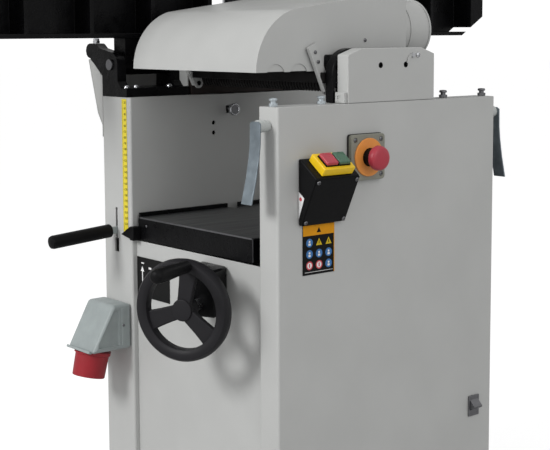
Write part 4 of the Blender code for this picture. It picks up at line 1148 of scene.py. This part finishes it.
def inlet_case():
    """A slanted housing with recessed sides."""
    low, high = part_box("inlet_housing")
    face, depth_top, depth = high.y, 0.036, 0.079
    outline = [(face, low.z), (face, high.z), (face - depth_top, high.z), (face - depth, low.z)]
    body = across_x(outline, low.x, high.x, 0.006, 4)
    for x, side in ((high.x, 1), (low.x, -1)):
        panel = [
            (face - 0.025, low.z + 0.008), (face - 0.025, high.z - 0.008),
            (face - 0.035, high.z - 0.008), (face - 0.068, low.z + 0.014),
            (face - 0.066, low.z + 0.008),
        ]
        cut(body, plate(panel, 0.008, facing_x(x + side * 0.0010), 0.0030, 3))
        near, far, foot, top = face - 0.014, face - 0.020, low.z + 0.008, high.z - 0.006
        strip = [(far, foot), (far, top), (near, top), (near, foot)]
        join(body, plate(strip, 0.002, facing_x(x + side * 0.0002), 0.0008))
    add(body, "inlet_case", "inlet_grey", "cabinet", "inlet_housing")
    spot = Vector((high.x + 0.0012, face - 0.017, low.z + 0.043))
    add(screw_head(spot, 0.0024, 0.0014, (1, 0, 0)), "inlet_case_screw", "dark_steel", "cabinet")
    edge = [
        (face - 0.0790, low.z), (face - 0.0775, low.z + 0.0030), (face - 0.0825, low.z + 0.0055),
        (face - 0.0845, low.z + 0.0015),
    ]
    flange = plate(edge, high.x - low.x - 0.010, facing_x((low.x + high.x) / 2), 0.0006)
    add(flange, "inlet_case_drip_edge", "inlet_grey", "cabinet")


def inlet_shroud():
    """A round shroud that opens downwards, with a key inside and five contact pins."""
    low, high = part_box("inlet_housing")
    face = high.y
    lean = math.radians(13)
    down = Vector((0, -math.sin(lean), -math.cos(lean)))
    top = Vector(((low.x + high.x) / 2, face - 0.050, low.z + 0.010))
    wall = [
        (0.0120, 0.0235), (0.0120, 0.0270), (0.0140, 0.0315), (0.0195, 0.0315), (0.0205, 0.0292),
        (0.0580, 0.0282), (0.0590, 0.0275), (0.0590, 0.0250), (0.0220, 0.0235), (0.0120, 0.0235),
    ]
    shroud = turned(wall, top, down, 96)
    join(
        shroud,
        turned([(0.0115, 0), (0.0115, 0.0245), (0.0220, 0.0245), (0.0220, 0)], top, down),
        box((-0.0045, -0.031, 0.013), (0.0045, -0.024, 0.052), 0.001, matrix=along(top, down)),
        box((-0.006, -0.0345, 0.0130), (0.006, -0.0290, 0.0185), 0.001, matrix=along(top, down)),
    )
    cut(shroud, box((low.x - 0.05, face - 0.15, low.z - 0.0002), (high.x + 0.05, face + 0.1, low.z + 0.05)))
    add(shroud, "inlet_red_shroud", "inlet_red", "cabinet", "inlet_shroud")
    across = Vector((1, 0, 0))
    pins = []
    for k in range(5):
        angle = math.radians(72 * k)
        start = top + (across * math.cos(angle) + down.cross(across) * math.sin(angle)) * 0.013
        pins.append(rod(start + down * 0.0223, start + down * 0.046, 0.003, 0.001, 24))
    add(gather(pins), "inlet_contact_pins", "steel", "cabinet")


# Scale and signs


def flat_print(shapes, name, look):
    add(gather(shapes), name, look, "cabinet")


def digits(text, size, matrix, thickness=0.00012):
    """Plain numbers as thin solids."""
    curve = bpy.data.curves.new("digits", "FONT")
    curve.body = text
    curve.size = size
    curve.extrude = thickness / 2
    curve.align_x = "CENTER"
    curve.align_y = "CENTER"
    curve.resolution_u = 3
    writing = bpy.data.objects.new("digits", curve)
    link(writing)
    mesh = bpy.data.meshes.new_from_object(writing.evaluated_get(bpy.context.evaluated_depsgraph_get()))
    bpy.data.objects.remove(writing)
    bm = bmesh.new()
    bm.from_mesh(mesh)
    bmesh.ops.remove_doubles(bm, verts=bm.verts, dist=1e-6)
    return as_object(bm, matrix)


def thickness_scale():
    """A yellow strip with a tick every 2 mm and a number every 10 mm."""
    low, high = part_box("thickness_scale")
    strip = box(low, (high.x, high.y, high.z), 0.0002, 1)
    add(strip, "scale_strip", "scale_yellow", "cabinet", "thickness_scale")
    face = low.y - 0.0001
    marks = []
    zero, left = low.z + 0.004, low.x + 0.0006
    ticks = int((high.z - zero) / 0.002)
    for k in range(ticks):
        length = 0.0052 if k % 5 == 0 else 0.0030
        z = zero + k * 0.002
        marks.append(box((left, face, z - 0.0002), (left + length, face + 0.00005, z + 0.0002)))
        if k % 5 == 0 and k:
            number = str((ticks // 5 - k // 5 + 2) * 10)
            marks.append(digits(number, 0.0058, facing_y(face) @ Matrix.Translation((high.x - 0.0042, z, 0))))
    flat_print(marks, "scale_ticks_and_numbers", "ink_black")


def height_sign():
    """A dark plate with arrows that say which way the handwheel raises the table."""
    low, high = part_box("height_sign")
    plate_piece = box(low, high, 0.0003, 1)
    add(plate_piece, "height_sign_plate", "ink_black", "cabinet", "height_sign")
    face = low.y - 0.0001
    x, z = low.x + 0.017, (low.z + high.z) / 2
    turn = arc((x + 0.004, z - 0.012), 0.006, 180, 360, 10)
    inner = arc((x + 0.004, z - 0.012), 0.0035, 360, 180, 10)
    hook = [(x - 0.002, z + 0.010), *turn, (x + 0.010, z - 0.004)]
    hook += [(x + 0.0075, z - 0.004), *inner, (x + 0.0005, z + 0.010)]
    head = [(x - 0.006, z + 0.010), (x + 0.0045, z + 0.010), (x - 0.0008, z + 0.019)]
    marks = [plate(points, 0.0001, facing_y(face)) for points in (hook, head)]
    # Each bar: its left and right ends, then its lower and upper edges.
    for left, right, base, top in (
        (0.018, 0.026, 0.016, 0.0195),
        (-0.004, 0.004, 0.0235, 0.0255),
        (-0.003, 0.003, -0.028, -0.0245),
    ):
        marks.append(box((x + left, face, z + base), (x + right, face + 0.00006, z + top)))
    flat_print(marks, "height_sign_arrows", "ink_white")


def pictogram_label():
    """A dark label with an orange strip and nine plain coloured signs."""
    low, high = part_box("pictogram_label")
    add(box(low, high, 0.0003, 1), "label_base", "ink_black", "cabinet", "pictogram_label")
    face, ink, over = high.x + 0.0001, 0.00008, 0.0001
    strip = box((face, low.y + 0.0005, high.z - 0.0165), (face + ink, high.y - 0.0005, high.z - 0.0005))
    edge = box((face, high.y - 0.0018, low.z + 0.0005), (face + ink, high.y - 0.0005, high.z - 0.0165))
    flat_print([strip, edge], "label_orange_strip", "ink_orange")
    columns = [low.y + 0.0135 + 0.0195 * k for k in range(3)]
    rows = [high.z - 0.0275 - 0.0175 * k for k in range(3)]
    discs, triangles, rings, details, darks = [], [], [], [], []
    for row, z in enumerate(rows):
        for column, y in enumerate(columns):
            if row == 0 and column > 0:
                points = [(y - 0.0062, z - 0.0048), (y + 0.0062, z - 0.0048), (y, z + 0.0060)]
                triangles.append(plate(points, 0.0001, facing_x(face)))
                near, far = (face + over, y - 0.0007, z - 0.0025), (face + 0.00018, y + 0.0007, z + 0.0022)
                darks.append(box(near, far))
            elif row == 2 and column < 2:
                rings.append(ring((face, y, z), 0.0046, 0.0066, 0.0001, (1, 0, 0), 40))
                details.append(disc((face, y, z), 0.0046, 0.00007))
                near, far = (face + 0.00012, y - 0.0011, z - 0.0030), (face + 0.0002, y + 0.0011, z + 0.0030)
                rings.append(box(near, far))
            else:
                discs.append(disc((face, y, z), 0.0066, ink))
                details.append(disc((face + over, y, z + 0.0018), 0.0018, ink))
                near, far = (face + over, y - 0.0022, z - 0.0040), (face + 0.00018, y + 0.0022, z - 0.0008)
                details.append(box(near, far))
    flat_print(discs, "label_blue_discs", "ink_blue")
    flat_print(triangles, "label_yellow_triangles", "ink_yellow")
    flat_print(rings, "label_red_rings", "ink_red")
    flat_print(details, "label_white_signs", "ink_white")
    middle = (high.y + low.y) / 2
    sign = [(middle - 0.0045, high.z - 0.0125), (middle + 0.0045, high.z - 0.0125), (middle, high.z - 0.0045)]
    darks.append(plate(sign, 0.0001, facing_x(face + 0.0002)))
    flat_print(darks, "label_dark_signs", "ink_black")
    line = box((face, low.y + 0.004, low.z + 0.0040), (face + ink, high.y - 0.004, low.z + 0.0046))
    flat_print([line], "label_rule", "ink_white")


# Stage


SKY_LIGHT = 0.66
SKY_SEEN = 1.05
FLOOR_GLOW = 0.66


def floor_look():
    """A pale floor that glows to the eye only, so that it doesn't light the machine from below."""
    white = base_look("floor", (0.50, 0.50, 0.50), 0.9, specular=0.1)
    nodes, links = tree_of(white)
    shader = nodes["Principled BSDF"]
    shader.inputs["Emission Color"].default_value = (1, 1, 1, 1)
    path = nodes.new("ShaderNodeLightPath")
    glow = nodes.new("ShaderNodeMath")
    glow.operation = "MULTIPLY"
    glow.inputs[1].default_value = FLOOR_GLOW
    links.new(path.outputs["Is Camera Ray"], glow.inputs[0])
    links.new(glow.outputs["Value"], shader.inputs["Emission Strength"])
    return white


def stage():
    floor = bpy.data.meshes.new("floor")
    bm = bmesh.new()
    bmesh.ops.create_grid(bm, x_segments=1, y_segments=1, size=30)
    bm.to_mesh(floor)
    bm.free()
    floor_object = bpy.data.objects.new("floor", floor)
    link(floor_object)
    floor_object.data.materials.append(floor_look())


def area_light(name, place, target, size, power, colour=(1, 1, 1)):
    data = bpy.data.lights.new(name, "AREA")
    data.shape = "SQUARE"
    data.size = size
    data.energy = power
    data.color = colour
    light = bpy.data.objects.new(name, data)
    light.location = place
    aim = Vector(target) - Vector(place)
    light.rotation_euler = aim.to_track_quat("-Z", "Y").to_euler()
    link(light)


def lights():
    world = bpy.data.worlds.new("studio")
    bpy.context.scene.world = world
    world.use_nodes = True
    nodes, links = tree_of(world)
    sky = nodes["Background"]
    sky.inputs["Color"].default_value = (1, 1, 1, 1)
    sky.inputs["Strength"].default_value = SKY_LIGHT
    seen = nodes.new("ShaderNodeBackground")
    seen.inputs["Color"].default_value = (1, 1, 1, 1)
    seen.inputs["Strength"].default_value = SKY_SEEN
    path = nodes.new("ShaderNodeLightPath")
    mix = nodes.new("ShaderNodeMixShader")
    links.new(path.outputs["Is Camera Ray"], mix.inputs["Fac"])
    links.new(sky.outputs["Background"], mix.inputs[1])
    links.new(seen.outputs["Background"], mix.inputs[2])
    links.new(mix.outputs["Shader"], nodes["World Output"].inputs["Surface"])
    target = (0.05, -0.10, 0.60)
    area_light("key", (-0.2, -2.6, 1.9), target, 0.7, 44)
    area_light("fill", (2.8, -0.4, 1.9), target, 1.8, 16)


LENS = 84.896  # millimetres, on a 36 mm sensor
CAMERA_PLACE = (1.7052, -1.4660, 0.9000)
CAMERA_TURNS = (140.245, -6.1407, -0.232)  # yaw, pitch and roll in degrees


def camera():
    data = bpy.data.cameras.new("camera")
    data.sensor_width = 36
    data.lens = LENS
    data.shift_y = -0.10
    data.clip_end = 200
    yaw, pitch, roll = (math.radians(turn) for turn in CAMERA_TURNS)
    forward = Vector((math.cos(pitch) * math.cos(yaw), math.cos(pitch) * math.sin(yaw), math.sin(pitch)))
    level = Vector((math.sin(yaw), -math.cos(yaw), 0))
    upright = level.cross(forward)
    right = level * math.cos(roll) + upright * math.sin(roll)
    up = upright * math.cos(roll) - level * math.sin(roll)
    place = Matrix((right, up, -forward)).transposed().to_4x4()
    view = bpy.data.objects.new("camera", data)
    view.matrix_world = Matrix.Translation(CAMERA_PLACE) @ place
    link(view)
    bpy.context.scene.camera = view
    bpy.context.scene.view_settings.view_transform = "Standard"


def build():
    camera()
    lights()
    stage()
    cabinet_sheets()
    head_castings()
    head_cover()
    cutter_and_rollers()
    drive()
    thickness_table()
    scale_pointer()
    handwheel()
    crank_grip()
    surface_tables()
    hinges()
    stop_studs()
    dust_hood()
    feed_lever()
    lock_levers()
    latch_knob()
    emergency_stop()
    switch_box()
    inlet_case()
    inlet_shroud()
    thickness_scale()
    height_sign()
    pictogram_label()


build()
